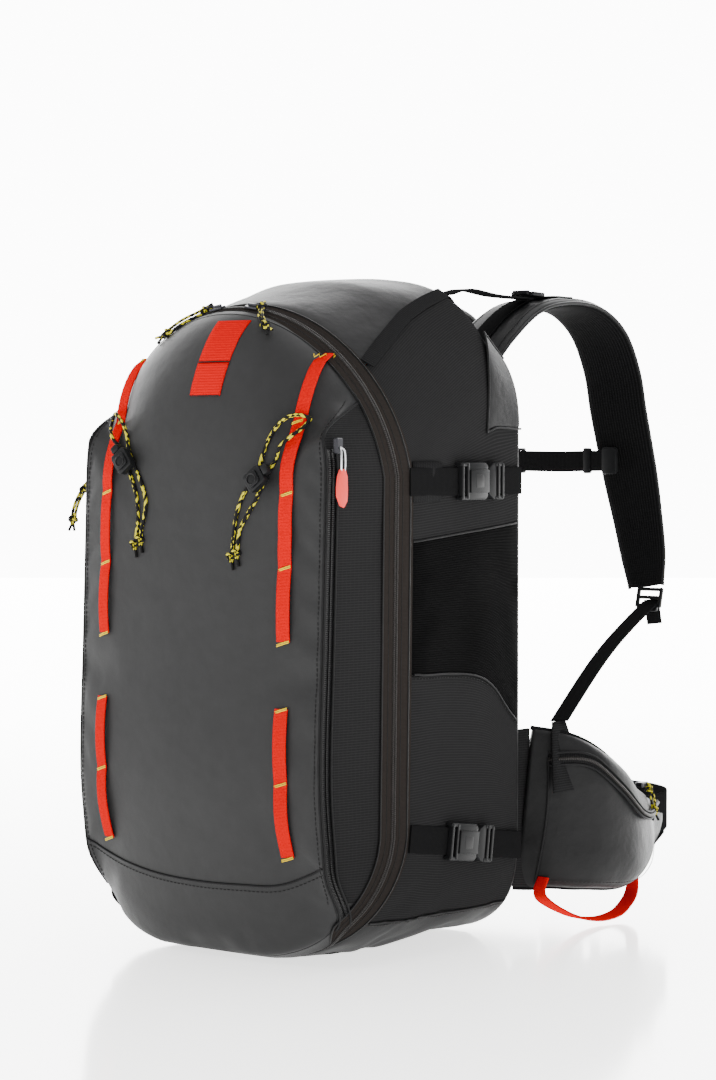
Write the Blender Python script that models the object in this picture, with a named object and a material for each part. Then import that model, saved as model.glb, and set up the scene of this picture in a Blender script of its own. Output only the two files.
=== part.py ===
"""Avalanche airbag backpack, each sub-part as its own closed solid.

Metres, +Z up. +Y points at the wearer's back and +X to the wearer's right.
The origin is the centre of the base, on the floor.
"""

import math

import bmesh
import bpy
from mathutils import Matrix, Vector

# Driving dimensions of the bag.
HALF_WIDTH = 0.150
REAR_Y = 0.148
ARCH_RADIUS = 0.150
ARCH_CENTRE_Y = -0.0148
ARCH_CENTRE_Z = 0.4087
ARCH_TILT = math.radians(12.8)
CORNER_Z = 0.106
CORNER_RIM_Y = -0.020
CORNER_RUN = 0.066
SKIN = 0.0025
GAP = 0.0006
FOLD_X = 0.134
FRONT_BULGE = 0.012
FRONT_MIDDLE_Z = 0.29
LID_PIVOT = (0.0, -0.087, 0.0015)

# Depth of the front panel at each height, before its upper end domes back to the zip.
FOLD_DEPTHS = [
    (0.000, -0.097), (0.030, -0.102), (0.060, -0.107), (0.0956, -0.112), (0.157, -0.1174),
    (0.273, -0.1133), (0.3956, -0.109), (0.455, -0.108), (0.555, -0.106),
]
DOME_POWER = 5.0

# Cross-sections of the rear bag: share of depth, half width, top exponent, then its middle, top and
# base heights.
STATIONS = [
    (0.00, 0.150, 2.0, 0.4087, 0.555, 0.0025),
    (0.40, 0.150, 2.5, 0.415, 0.579, 0.0025),
    (0.75, 0.149, 3.3, 0.420, 0.584, 0.0025),
    (1.00, 0.147, 3.2, 0.430, 0.540, 0.0025),
]

# Webbing of the daisy chains: tack heights of the upper and the lower one.
CHAIN_X = 0.100
CHAIN_WIDTH = 0.0125
CHAIN_TACKS = {"upper": [0.510, 0.455, 0.3956, 0.3348, 0.2732], "lower": [0.2183, 0.1574, 0.0956]}
CHAIN_BOW = 0.0035

# Compression straps: height where the strap leaves the zip and where it reaches the back.
STRAP_WIDTH = 0.025
WEBBING = 0.0016
COMPRESSION = {"upper": (0.404, 0.404), "lower": (0.102, 0.081)}
COMPRESSION_FRONT_Y = -0.004
COMPRESSION_REAR_Y = 0.143
BUCKLE_FRONT_Y = {"upper": 0.045, "lower": 0.030}

# Harness: centre line of the wearer's right shoulder strap, with its half widths and half thickness.
STRAP_ROUTE = [
    (0.067, 0.157, 0.480), (0.068, 0.178, 0.503), (0.069, 0.209, 0.533), (0.071, 0.252, 0.560),
    (0.074, 0.300, 0.569), (0.078, 0.345, 0.564), (0.082, 0.378, 0.543), (0.086, 0.396, 0.507),
    (0.090, 0.402, 0.467), (0.097, 0.411, 0.410), (0.104, 0.415, 0.365), (0.110, 0.416, 0.328),
    (0.114, 0.415, 0.298),
]
STRAP_HALF_WIDTHS = [
    0.026, 0.029, 0.031, 0.031, 0.031, 0.031, 0.031, 0.031, 0.031, 0.030, 0.027, 0.024, 0.019,
]
STRAP_HALF_THICK = 0.006
STRAP_PIVOT = (0.0, 0.157, 0.480)
LOAD_LIFTER = [(0.0860, 0.150, 0.5750), (0.0830, 0.200, 0.5720), (0.0790, 0.258, 0.5720)]
LOWER_WEBBING = [(0.1160, 0.420, 0.2835), (0.1330, 0.312, 0.2380), (0.1500, 0.210, 0.1860)]
STERNUM_Z = 0.421
STERNUM_Y = 0.3965

# Hip belt: centre line of the right wing and its webbing, half heights and half thicknesses.
WING_ROUTE = [
    (0.128, 0.182, 0.108), (0.150, 0.205, 0.104), (0.166, 0.240, 0.091), (0.171, 0.280, 0.077),
    (0.166, 0.318, 0.075), (0.158, 0.350, 0.079), (0.150, 0.385, 0.083), (0.134, 0.420, 0.085),
    (0.102, 0.444, 0.085), (0.066, 0.453, 0.085), (0.040, 0.455, 0.085),
]
WING_HALF_HEIGHTS = [0.074, 0.071, 0.062, 0.050, 0.038, 0.025, 0.019, 0.019, 0.019, 0.019, 0.019]
WING_HALF_THICK = [0.008, 0.015, 0.020, 0.020, 0.015, 0.006, 0.0012, 0.0012, 0.0012, 0.0012, 0.0012]
WING_PIVOT = (0.128, 0.180, 0.108)
BELT_Z = 0.085
BELT_Y = 0.455
GEAR_LOOP = [
    (0.152, 0.180, 0.0280), (0.160, 0.192, 0.0180), (0.168, 0.213, 0.0085), (0.173, 0.240, 0.0040),
    (0.174, 0.268, 0.0055), (0.171, 0.290, 0.0120), (0.168, 0.304, 0.0200),
]
HIP_SLIDER = (0.168, 0.322, 0.1185)

# Airbag system and the frame inside the back.
FRAME_Z = 0.272
AIRBAG_Y = 0.088
AIRBAG_Z = 0.515
CARTRIDGE_RADIUS = 0.027
CARTRIDGE_X = -0.095
CARTRIDGE_Y = 0.095
CARTRIDGE_LOW_Z = 0.160
CARTRIDGE_HIGH_Z = 0.360

# Accessory cords on the front: across, height and how far the cord stands off the panel.
CORD_DIAMETER = 0.0032
CORD_ROUTES = {
    "right": [
        (0.0470, 0.3400, 0.0040), (0.0480, 0.3510, 0.0040), (0.0488, 0.3620, 0.0040),
        (0.0500, 0.3720, 0.0040), (0.0530, 0.3840, 0.0040), (0.0585, 0.3960, 0.0040),
        (0.0660, 0.4070, 0.0040), (0.0715, 0.4180, 0.0040), (0.0745, 0.4290, 0.0040),
        (0.0790, 0.4410, 0.0040), (0.0860, 0.4510, 0.0060), (0.0950, 0.4575, 0.0095),
        (0.1040, 0.4595, 0.0095), (0.1105, 0.4565, 0.0060), (0.1085, 0.4495, 0.0090),
        (0.1010, 0.4420, 0.0110), (0.0925, 0.4330, 0.0105), (0.0855, 0.4230, 0.0040),
        (0.0800, 0.4120, 0.0040), (0.0745, 0.4000, 0.0040), (0.0680, 0.3870, 0.0040),
        (0.0605, 0.3750, 0.0040), (0.0550, 0.3650, 0.0040), (0.0535, 0.3550, 0.0040),
        (0.0525, 0.3430, 0.0040),
    ],
    "left": [
        (-0.0630, 0.3480, 0.0040), (-0.0615, 0.3580, 0.0040), (-0.0605, 0.3680, 0.0040),
        (-0.0610, 0.3800, 0.0040), (-0.0645, 0.3940, 0.0040), (-0.0715, 0.4070, 0.0040),
        (-0.0800, 0.4190, 0.0040), (-0.0880, 0.4300, 0.0040), (-0.0960, 0.4405, 0.0115),
        (-0.1035, 0.4490, 0.0115), (-0.1100, 0.4565, 0.0080), (-0.1020, 0.4620, 0.0105),
        (-0.0940, 0.4605, 0.0112), (-0.0880, 0.4540, 0.0075), (-0.0835, 0.4450, 0.0040),
        (-0.0785, 0.4330, 0.0040), (-0.0710, 0.4210, 0.0040), (-0.0620, 0.4090, 0.0040),
        (-0.0545, 0.3970, 0.0040), (-0.0510, 0.3850, 0.0040), (-0.0525, 0.3740, 0.0040),
        (-0.0555, 0.3640, 0.0040), (-0.0560, 0.3520, 0.0040),
    ],
}
CORD_LOCKS = {"right": (0.074, 0.406, math.radians(38)), "left": (-0.0765, 0.4205, math.radians(130))}
LOCK_STAND_OFF = 0.0075
BUTTON_TRAVEL = 0.004

COLOURS = {
    "coated_fabric": ((0.035, 0.036, 0.038), 0.45, 0.0),
    "ripstop": ((0.030, 0.031, 0.032), 0.60, 0.0),
    "foam": ((0.020, 0.020, 0.021), 0.85, 0.0),
    "webbing": ((0.012, 0.012, 0.013), 0.70, 0.0),
    "red_webbing": ((0.80, 0.03, 0.02), 0.60, 0.0),
    "salmon_tab": ((0.90, 0.12, 0.09), 0.50, 0.0),
    "buckle": ((0.022, 0.023, 0.025), 0.40, 0.0),
    "cord": ((0.030, 0.030, 0.022), 0.75, 0.0),
    "aluminium": ((0.70, 0.71, 0.72), 0.35, 1.0),
    "steel": ((0.55, 0.56, 0.58), 0.30, 1.0),
    "frame_plastic": ((0.05, 0.05, 0.05), 0.50, 0.0),
    "airbag": ((0.75, 0.10, 0.03), 0.55, 0.0),
}


def clear_scene():
    for thing in list(bpy.data.objects):
        bpy.data.objects.remove(thing, do_unlink=True)


def finish_of(name, kind):
    """A material of the object's own, in one of the finishes above."""
    colour, roughness, metallic = COLOURS[kind]
    made = bpy.data.materials.new(name)
    made.use_nodes = True
    shader = made.node_tree.nodes["Principled BSDF"]
    shader.inputs["Base Color"].default_value = (*colour, 1.0)
    shader.inputs["Roughness"].default_value = roughness
    shader.inputs["Metallic"].default_value = metallic
    return made


def pivot(name, place):
    """An empty on a joint's axis, which the moving pieces hang from."""
    empty = bpy.data.objects.new(name, None)
    empty.location = place
    bpy.context.scene.collection.objects.link(empty)
    return empty


def place_object(name, data, kind, parent=None):
    thing = bpy.data.objects.new(name, data)
    bpy.context.scene.collection.objects.link(thing)
    data.materials.append(finish_of(name, kind))
    if parent is not None:
        thing.parent = parent
        thing.matrix_parent_inverse = Matrix.Translation(parent.location).inverted()
    return thing


def mesh_object(name, points, faces, kind, parent=None, smooth=True):
    """A mesh whose faces are turned to point outwards where it is closed."""
    mesh = bpy.data.meshes.new(name)
    mesh.from_pydata([tuple(p) for p in points], [], faces)
    shaped = bmesh.new()
    shaped.from_mesh(mesh)
    bmesh.ops.recalc_face_normals(shaped, faces=shaped.faces)
    shaped.to_mesh(mesh)
    shaped.free()
    if smooth:
        mesh.shade_smooth()
        mesh.set_sharp_from_angle(angle=math.radians(40))
    return place_object(name, mesh, kind, parent)


def skin(name, rows, thickness, kind, parent=None, outward=(0.0, 0.0, 0.0), closed=False, capped=False):
    """A sheet through a grid of points, thickened towards the point it faces away from.

    A closed sheet's rows are rings, and a capped one's last ring is filled.
    """
    across = len(rows[0])
    points = [p for row in rows for p in row]
    faces = []
    for i in range(len(rows) - 1):
        for j in range(across if closed else across - 1):
            k = (j + 1) % across
            faces.append((i * across + j, i * across + k, (i + 1) * across + k, (i + 1) * across + j))
    if capped:
        faces.append(tuple(range(len(points) - across, len(points))))
    mesh = bpy.data.meshes.new(name)
    mesh.from_pydata([tuple(p) for p in points], [], faces)
    middle = mesh.polygons[len(faces) // 2]
    if (middle.center - Vector(outward)).dot(middle.normal) < 0:
        mesh.flip_normals()
    mesh.shade_smooth()
    thing = place_object(name, mesh, kind, parent)
    thicken = thing.modifiers.new("thickness", "SOLIDIFY")
    thicken.thickness = thickness
    thicken.offset = -1.0
    thicken.use_even_offset = True
    return thing


def ribbon(name, path, across, width, kind, parent=None, thickness=WEBBING):
    """Flat webbing along a path; across is the direction of its width."""
    half = Vector(across).normalized() * width / 2
    rows = [[Vector(p) - half, Vector(p) + half] for p in path]
    thing = skin(name, rows, thickness, kind, parent)
    thing.modifiers["thickness"].offset = 0.0
    return thing


def loft(name, rings, kind, parent=None):
    """A closed solid through rings of points, flat at both ends."""
    count = len(rings[0])
    points = [p for ring in rings for p in ring]
    faces = [tuple(range(count)), tuple(range(len(points) - count, len(points)))]
    for i in range(len(rings) - 1):
        for j in range(count):
            k = (j + 1) % count
            faces.append((i * count + j, i * count + k, (i + 1) * count + k, (i + 1) * count + j))
    return mesh_object(name, points, faces, kind, parent)


def rounded_ring(centre, across, through, half_across, half_through, count=12, power=3.0):
    """A superellipse ring, from near round at power 2 to near square."""
    ring = []
    for i in range(count):
        angle = math.tau * (i + 0.5) / count
        c, s = math.cos(angle), math.sin(angle)
        u = math.copysign(abs(c) ** (2 / power), c) * half_across
        v = math.copysign(abs(s) ** (2 / power), s) * half_through
        ring.append(Vector(centre) + Vector(across) * u + Vector(through) * v)
    return ring


def pad(name, route, across, halves, thicks, kind, parent=None):
    """A padded strip along a route, with a half width and half thickness at each point."""
    rings = []
    for i, centre in enumerate(route):
        before = Vector(route[max(i - 1, 0)])
        after = Vector(route[min(i + 1, len(route) - 1)])
        along = (after - before).normalized()
        through = along.cross(Vector(across)).normalized()
        side = through.cross(along).normalized()
        rings.append(rounded_ring(centre, side, through, halves[i], thicks[i]))
    return loft(name, rings, kind, parent)


def plate(name, outline, frame, thickness, kind, parent=None):
    """A flat outline in a local frame, extruded along that frame's Z."""
    count = len(outline)
    low = [frame @ Vector((x, y, 0.0)) for x, y in outline]
    high = [frame @ Vector((x, y, thickness)) for x, y in outline]
    faces = [tuple(range(count)), tuple(range(count, 2 * count))]
    faces += [(i, (i + 1) % count, count + (i + 1) % count, count + i) for i in range(count)]
    return mesh_object(name, low + high, faces, kind, parent, smooth=False)


def block(name, centre, size, kind, parent=None):
    """A box with bevelled edges, centred on a point."""
    shaped = bmesh.new()
    bmesh.ops.create_cube(shaped, size=1.0)
    bmesh.ops.scale(shaped, vec=size, verts=shaped.verts)
    width = min(size) * 0.2
    bmesh.ops.bevel(shaped, geom=shaped.edges, offset=width, segments=1, affect="EDGES")
    bmesh.ops.translate(shaped, vec=centre, verts=shaped.verts)
    mesh = bpy.data.meshes.new(name)
    shaped.to_mesh(mesh)
    shaped.free()
    return place_object(name, mesh, kind, parent)


def turned(name, centre, axis_rotation, profile, kind, parent=None, count=20):
    """A closed turned solid; profile is (radius, height) from one flat end to the other."""
    turn = Matrix.Translation(centre) @ axis_rotation.to_4x4()
    rings = []
    for radius, height in profile:
        ring = []
        for i in range(count):
            angle = math.tau * i / count
            ring.append(turn @ Vector((radius * math.cos(angle), radius * math.sin(angle), height)))
        rings.append(ring)
    return loft(name, rings, kind, parent)


def smooth_route(route, per_span):
    """Points on one smooth curve through a route."""
    points = [Vector(p) for p in route]
    points = [2 * points[0] - points[1]] + points + [2 * points[-1] - points[-2]]
    curve = []
    for i in range(1, len(points) - 2):
        before, start, end, after = points[i - 1:i + 3]
        for step in range(per_span):
            t = step / per_span
            curve.append(0.5 * (
                2 * start + (end - before) * t
                + (2 * before - 5 * start + 4 * end - after) * t ** 2
                + (3 * start - before - 3 * end + after) * t ** 3
            ))
    curve.append(points[-2])
    return curve


def cord(name, route, diameter, kind, parent=None, per_span=3):
    """A round cord with closed ends along a smooth route."""
    curve = bpy.data.curves.new(name, "CURVE")
    curve.dimensions = "3D"
    line = smooth_route(route, per_span)
    spline = curve.splines.new("POLY")
    spline.points.add(len(line) - 1)
    for i, point in enumerate(line):
        spline.points[i].co = (*point, 1.0)
    curve.bevel_depth = diameter / 2
    curve.bevel_resolution = 2
    curve.use_fill_caps = True
    return place_object(name, curve, kind, parent)


def between(low, high, share):
    return low + (high - low) * share


def profile_at(table, value):
    """A smooth value from a table of (place, value) rows."""
    if value <= table[0][0]:
        return table[0][1]
    for i in range(len(table) - 1):
        (x0, y0), (x1, y1) = table[i], table[i + 1]
        if value <= x1:
            xa, ya = table[max(i - 1, 0)]
            xb, yb = table[min(i + 2, len(table) - 1)]
            t = (value - x0) / (x1 - x0)
            start = (y1 - ya) / (x1 - xa) * (x1 - x0)
            end = (yb - y0) / (xb - x0) * (x1 - x0)
            return (
                (2 * t ** 3 - 3 * t ** 2 + 1) * y0 + (t ** 3 - 2 * t ** 2 + t) * start
                + (3 * t ** 2 - 2 * t ** 3) * y1 + (t ** 3 - t ** 2) * end
            )
    return table[-1][1]


def station_at(share):
    """The cross-section's numbers at a share of the bag's depth."""
    for low, high in zip(STATIONS, STATIONS[1:]):
        if share <= high[0]:
            t = (share - low[0]) / (high[0] - low[0])
            return [between(a, b, t) for a, b in zip(low[1:], high[1:])]
    return list(STATIONS[-1][1:])


def section_point(share, zone, t):
    """Half width and height on the bag's outline, from the top (arch) to the base centre (corner)."""
    half, power, middle, top, base = station_at(share)
    if zone == "side":
        return half, between(middle, CORNER_Z, t)
    angle = math.pi / 2 * t
    if zone == "arch":
        x = half * math.sin(angle) ** (2 / power)
        return x, middle + (top - middle) * max(math.cos(angle), 0.0) ** (2 / power)
    power = between(3.0, 3.5, min(share * 3, 1.0))
    depth = CORNER_Z + between(0.0, 0.004, min(share * 3, 1.0))
    x = half * max(math.cos(angle), 0.0) ** (2 / power)
    return x, max(CORNER_Z - depth * math.sin(angle) ** (2 / power), base)


def rim_y(zone, t):
    """Where the main zip runs, seen from the side."""
    if zone == "arch":
        return ARCH_CENTRE_Y - ARCH_RADIUS * math.sin(ARCH_TILT) * math.cos(math.pi / 2 * t)
    if zone == "side":
        return between(ARCH_CENTRE_Y, CORNER_RIM_Y, t)
    return CORNER_RIM_Y - CORNER_RUN * math.sin(math.pi / 2 * t)


def bag_point(side, zone, t, share):
    x, z = section_point(share, zone, t)
    return Vector((side * x, between(rim_y(zone, t), REAR_Y, share), z))


def steps(zone, low, high, count):
    return [(zone, between(low, high, i / (count - 1))) for i in range(count)]


def plain_front_y(x, z):
    """The front panel's surface if it ran straight to its edges."""
    return profile_at(FOLD_DEPTHS, z) - FRONT_BULGE * (1 - (x / FOLD_X) ** 2)


def fold_strength(zone, t):
    """1 where the front has a gusset and a fold, near 0 where the panel meets the zip."""
    if zone == "side":
        return 1.0
    rise, least = ((t - 0.63) / 0.23, 0.10) if zone == "arch" else ((0.45 - t) / 0.40, 0.50)
    rise = min(max(rise, 0.0), 1.0)
    return between(least, 1.0, rise * rise * (3 - 2 * rise))


def fold_point(zone, t):
    """The front panel's edge on the right-hand side."""
    x, z = section_point(0.0, zone, t)
    folded = Vector((x * FOLD_X / HALF_WIDTH, plain_front_y(x * FOLD_X / HALF_WIDTH, z), z))
    rim = Vector((x, rim_y(zone, t), z))
    point = rim.lerp(folded, fold_strength(zone, t))
    point.z = between(FRONT_MIDDLE_Z, point.z, 0.99)
    return point


def domed(edge_y, x, z, scale):
    """The front panel's depth at a share of the way from its middle to its edge."""
    dome = math.sqrt(max(1 - scale ** DOME_POWER, 0.0))
    return between(edge_y, plain_front_y(x, z), dome)


def front_y(x, z):
    """The front panel's surface, with its upper end domed back to the zip."""
    low, high = 0.5, 40.0
    for _ in range(40):
        reach = (low + high) / 2
        rise = (FRONT_MIDDLE_Z + (z - FRONT_MIDDLE_Z) * reach - ARCH_CENTRE_Z) / math.cos(ARCH_TILT)
        inside = abs(x * reach) < FOLD_X if rise < 0 else math.hypot(x * reach, rise) < ARCH_RADIUS
        low, high = (reach, high) if inside else (low, reach)
    rise = (FRONT_MIDDLE_Z + (z - FRONT_MIDDLE_Z) * low - ARCH_CENTRE_Z) / math.cos(ARCH_TILT)
    if rise < 0 or z < FRONT_MIDDLE_Z:
        return plain_front_y(x, z)
    t = math.acos(min(rise / ARCH_RADIUS, 1.0)) / (math.pi / 2)
    return domed(fold_point("arch", t).y, x, z, min(1 / low, 1.0))


def make_rear_bag():
    shares = [0.004, 0.20, 0.40, 0.58, 0.75, 0.88, 1.0]
    inside = (0.0, 0.06, 0.3)
    for side, name in ((1, "side_panel_right"), (-1, "side_panel_left")):
        path = steps("arch", 0.73, 0.96, 4) + steps("side", 0.0, 0.97, 4) + steps("corner", 0.0, 0.32, 4)
        rows = [[bag_point(side, zone, t, s) for s in shares] for zone, t in path]
        skin(name, rows, SKIN, "ripstop", outward=inside)
    half = steps("arch", 0.0, 0.722, 8)
    path = [(-1, zone, t) for zone, t in reversed(half[1:])] + [(1, zone, t) for zone, t in half]
    rows = [[bag_point(side, zone, t, s) for s in shares] for side, zone, t in path]
    skin("top_panel", rows, SKIN, "coated_fabric", outward=inside)
    half = steps("corner", 0.335, 1.0, 8)
    path = [(1, zone, t) for zone, t in half] + [(-1, zone, t) for zone, t in reversed(half[:-1])]
    rows = [[bag_point(side, zone, t, s) for s in shares] for side, zone, t in path]
    skin("bottom_tub", rows, SKIN, "coated_fabric", outward=inside)
    outline = rounded_ring((0.0, 0.028, 0.0), (1, 0, 0), (0, 1, 0), 0.082, 0.085, 20, 4.0)
    plate("base_patch", [(p.x, p.y) for p in outline], Matrix(), 0.002, "foam")


def make_back():
    def ring(y, half_x, low, high, power):
        centre = (0.0, y, (low + high) / 2)
        return rounded_ring(centre, (1, 0, 0), (0, 0, 1), half_x, (high - low) / 2, 24, power)

    rings = [
        ring(REAR_Y + 0.0006, 0.146, 0.006, 0.516, 4.0),
        ring(REAR_Y + 0.0036, 0.146, 0.006, 0.516, 4.0),
        ring(REAR_Y + 0.0040, 0.112, 0.062, 0.474, 5.0),
        ring(REAR_Y + 0.0180, 0.108, 0.066, 0.470, 5.0),
        ring(REAR_Y + 0.0220, 0.100, 0.074, 0.462, 5.0),
    ]
    loft("back_panel", rings, "foam")
    block("frame_sheet", (0.0, REAR_Y - 0.0014, FRAME_Z), (0.220, 0.0018, 0.400), "frame_plastic")
    for side, name in ((1, "stay_right"), (-1, "stay_left")):
        block(name, (side * 0.060, REAR_Y - 0.0045, FRAME_Z), (0.020, 0.003, 0.380), "aluminium")
    angles = [math.pi * i / 12 for i in range(13)]
    loop = [(0.035 * math.cos(a), 0.163, 0.522 + 0.045 * math.sin(a)) for a in angles]
    ribbon("haul_loop", loop, (0, 1, 0), 0.020, "webbing")


def make_airbag_system():
    rings = []
    for x, half_y, half_z in (
        (-0.100, 0.020, 0.018), (-0.085, 0.030, 0.028), (0.085, 0.030, 0.028), (0.100, 0.020, 0.018),
    ):
        centre = (x, AIRBAG_Y, AIRBAG_Z)
        rings.append(rounded_ring(centre, (0, 1, 0), (0, 0, 1), half_y, half_z, 14, 3.0))
    loft("folded_airbag", rings, "airbag")
    upright = Matrix.Identity(3)
    low, high = CARTRIDGE_LOW_Z, CARTRIDGE_HIGH_Z
    radius = CARTRIDGE_RADIUS
    spin = pivot("cartridge_axis", (CARTRIDGE_X, CARTRIDGE_Y, low))
    profile = [
        (radius * 0.6, 0.0), (radius * 0.9, 0.005), (radius, 0.014), (radius, high - low - 0.035),
        (radius * 0.75, high - low - 0.018), (radius * 0.42, high - low - 0.008),
        (radius * 0.42, high - low),
    ]
    turned("gas_cartridge", (CARTRIDGE_X, CARTRIDGE_Y, low), upright, profile, "steel", spin)
    head_low = high + GAP
    profile = [(0.018, 0.0), (0.020, 0.003), (0.020, 0.030), (0.014, 0.038), (0.014, 0.058)]
    turned("inflator_head", (CARTRIDGE_X, CARTRIDGE_Y, head_low), upright, profile, "aluminium")
    pin_place = (CARTRIDGE_X + 0.0206, CARTRIDGE_Y, head_low + 0.016)
    sideways = Matrix.Rotation(math.pi / 2, 3, "Y")
    pin = pivot("firing_pin_axis", pin_place)
    profile = [(0.004, 0.0), (0.004, 0.014), (0.006, 0.015), (0.006, 0.020)]
    turned("firing_pin", pin_place, sideways, profile, "steel", pin, 12)
    route = [
        (-0.0950, 0.0950, 0.4195), (-0.0948, 0.0960, 0.4280), (-0.0930, 0.1010, 0.4400),
        (-0.0905, 0.1090, 0.4540), (-0.0870, 0.1180, 0.4720), (-0.0835, 0.1260, 0.4920),
        (-0.0805, 0.1335, 0.5100), (-0.0780, 0.1420, 0.5210), (-0.0765, 0.1510, 0.5230),
        (-0.0750, 0.1600, 0.5230), (-0.0740, 0.1700, 0.5250), (-0.0730, 0.1810, 0.5300),
        (-0.0725, 0.1930, 0.5380), (-0.0725, 0.2060, 0.5465), (-0.0725, 0.2200, 0.5550),
        (-0.0725, 0.2320, 0.5615),
    ]
    cord("trigger_cable", route, 0.004, "cord")


def make_burst_flaps():
    """The covers that the airbag pushes open, on the upper rear corners."""
    for side, name in ((1, "burst_flap_right"), (-1, "burst_flap_left")):
        hinge = pivot(name + "_axis", (side * 0.153, 0.146, 0.465))
        path = steps("arch", 0.60, 0.96, 6)
        rows = []
        for zone, t in path:
            front_share = between(0.80, 0.66, (t - 0.60) / 0.36)
            row = []
            for share in (front_share, between(front_share, 0.985, 0.5), 0.985):
                point = bag_point(side, zone, t, share)
                away = Vector((side * 0.9, 0.0, 0.35 * (0.96 - t) / 0.36)).normalized()
                row.append(point + away * 0.0045)
            rows.append(row)
        skin(name, rows, 0.002, "coated_fabric", hinge, outward=(0.0, 0.06, 0.3))


def clip_outlines(width, length, slot, depth, male_length, gap=0.0005, room=0.0005):
    """Two halves in plan: a notched one, and one whose tongue lies in the notch with room at its tip."""
    half, notch = width / 2, slot / 2
    notched = [
        (0.0, -half), (length, -half), (length, -notch), (length - depth, -notch),
        (length - depth, notch), (length, notch), (length, half), (0.0, half),
    ]
    start = length + gap
    end = start + male_length
    tip = length - depth + room
    inner = notch - 0.0005
    tongued = [
        (start, -half), (end, -half), (end, half), (start, half),
        (start, inner), (tip, inner), (tip, -inner), (start, -inner),
    ]
    return notched, tongued


def strap_frame(start, end, outward):
    """A local frame at start: X towards end, Z outward."""
    x_axis = (Vector(end) - Vector(start)).normalized()
    z_axis = Vector(outward).normalized()
    y_axis = z_axis.cross(x_axis)
    turn = Matrix((x_axis, y_axis, z_axis)).transposed().to_4x4()
    return Matrix.Translation(start) @ turn


def make_compression_straps():
    for level, (front_z, rear_z) in COMPRESSION.items():
        for side, hand in ((1, "right"), (-1, "left")):
            face = side * (HALF_WIDTH + 0.0014)
            front = (face, COMPRESSION_FRONT_Y, front_z)
            rear = (face, COMPRESSION_REAR_Y, rear_z)
            path = [front, Vector(front).lerp(Vector(rear), 0.5), rear]
            ribbon(f"{level}_strap_{hand}", path, (0, 0, 1), STRAP_WIDTH, "webbing")
            run = COMPRESSION_REAR_Y - COMPRESSION_FRONT_Y
            share = (BUCKLE_FRONT_Y[level] - COMPRESSION_FRONT_Y) / run
            start = Vector(front).lerp(Vector(rear), share)
            start += Vector((side * (WEBBING / 2 + GAP), 0, 0))
            frame = strap_frame(start, start + Vector(rear) - Vector(front), (side, 0, 0))
            female, male = clip_outlines(0.032, 0.040, 0.018, 0.022, 0.022)
            plate(f"{level}_buckle_female_{hand}", female, frame, 0.009, "buckle")
            slide = pivot(f"{level}_buckle_{hand}_axis", start)
            plate(f"{level}_buckle_male_{hand}", male, frame, 0.009, "buckle", slide)


def front_loop():
    """The lid's outline as (side, zone, t), once round."""
    half = steps("arch", 0.0, 0.93, 10) + steps("side", 0.0, 0.96, 6) + steps("corner", 0.0, 1.0, 9)
    return [(1, zone, t) for zone, t in half] + [(-1, zone, t) for zone, t in reversed(half[1:-1])]


def make_front_shell(hinge):
    """The clamshell front: gusset, fold and bulged front panel, open towards the bag."""
    rim, fold = [], []
    for side, zone, t in front_loop():
        x, z = section_point(0.0, zone, t)
        rim.append(Vector((side * x, rim_y(zone, t) - GAP / 2, z)))
        edge = fold_point(zone, t)
        fold.append(Vector((side * edge.x, edge.y, edge.z)))
    rows = [rim, [a.lerp(b, 0.5) for a, b in zip(rim, fold)], fold]
    for scale in (0.97, 0.91, 0.82, 0.65, 0.4, 0.2, 0.04):
        row = []
        for edge in fold:
            x, z = edge.x * scale, between(FRONT_MIDDLE_Z, edge.z, scale)
            row.append(Vector((x, domed(edge.y, x, z, scale), z)))
        rows.append(row)
    outward = (0.0, 0.0, FRONT_MIDDLE_Z)
    skin("front_shell", rows, SKIN, "coated_fabric", hinge, outward, closed=True, capped=True)


def make_daisy_chains(hinge):
    for level, tacks in CHAIN_TACKS.items():
        for side, hand in ((1, "right"), (-1, "left")):
            path = []
            for high, low in zip(tacks, tacks[1:]):
                for i in range(4):
                    z = between(high, low, i / 4)
                    bow = CHAIN_BOW * math.sin(math.pi * i / 4)
                    path.append((side * CHAIN_X, front_y(CHAIN_X, z) - 0.0026 - bow, z))
            path.append((side * CHAIN_X, front_y(CHAIN_X, tacks[-1]) - 0.0026, tacks[-1]))
            across = (1, side * 0.25, 0)
            ribbon(f"{level}_daisy_chain_{hand}", path, across, CHAIN_WIDTH, "red_webbing", hinge)


def panel_frame(x, z, angle, stand_off):
    """A frame on the front panel: Z off the panel, X turned by an angle from the pack's +X."""
    slope = (front_y(x, z + 0.01) - front_y(x, z - 0.01)) / 0.02
    up = Vector((0.0, slope, 1.0)).normalized()
    outward = Vector((0.0, -1.0, slope)).normalized()
    start = Vector((x, front_y(x, z), z)) + outward * stand_off
    towards = Vector((math.cos(angle), 0.0, 0.0)) + up * math.sin(angle)
    return strap_frame(start, start + towards, outward)


def make_accessory_cords(hinge):
    for hand, route in CORD_ROUTES.items():
        path = [(x, front_y(x, z) - lift, z) for x, z, lift in route]
        cord(f"accessory_cord_{hand}", path, CORD_DIAMETER, "cord", hinge)
        x, z, angle = CORD_LOCKS[hand]
        frame = panel_frame(x, z, angle, LOCK_STAND_OFF)
        gap, room = BUTTON_TRAVEL + 0.0005, BUTTON_TRAVEL + 0.001
        body, button = clip_outlines(0.017, 0.020, 0.007, 0.010, 0.005, gap, room)
        shift = Matrix.Translation((-0.010, 0.0, 0.0))
        plate(f"cord_lock_{hand}", body, frame @ shift, 0.009, "buckle", hinge)
        button = [(px, max(min(py, 0.0045), -0.0045)) for px, py in button]
        press = pivot(f"cord_lock_button_{hand}_axis", frame.translation)
        shift = Matrix.Translation((-0.010, 0.0, 0.001))
        plate(f"cord_lock_button_{hand}", button, frame @ shift, 0.007, "buckle", press)


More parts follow.
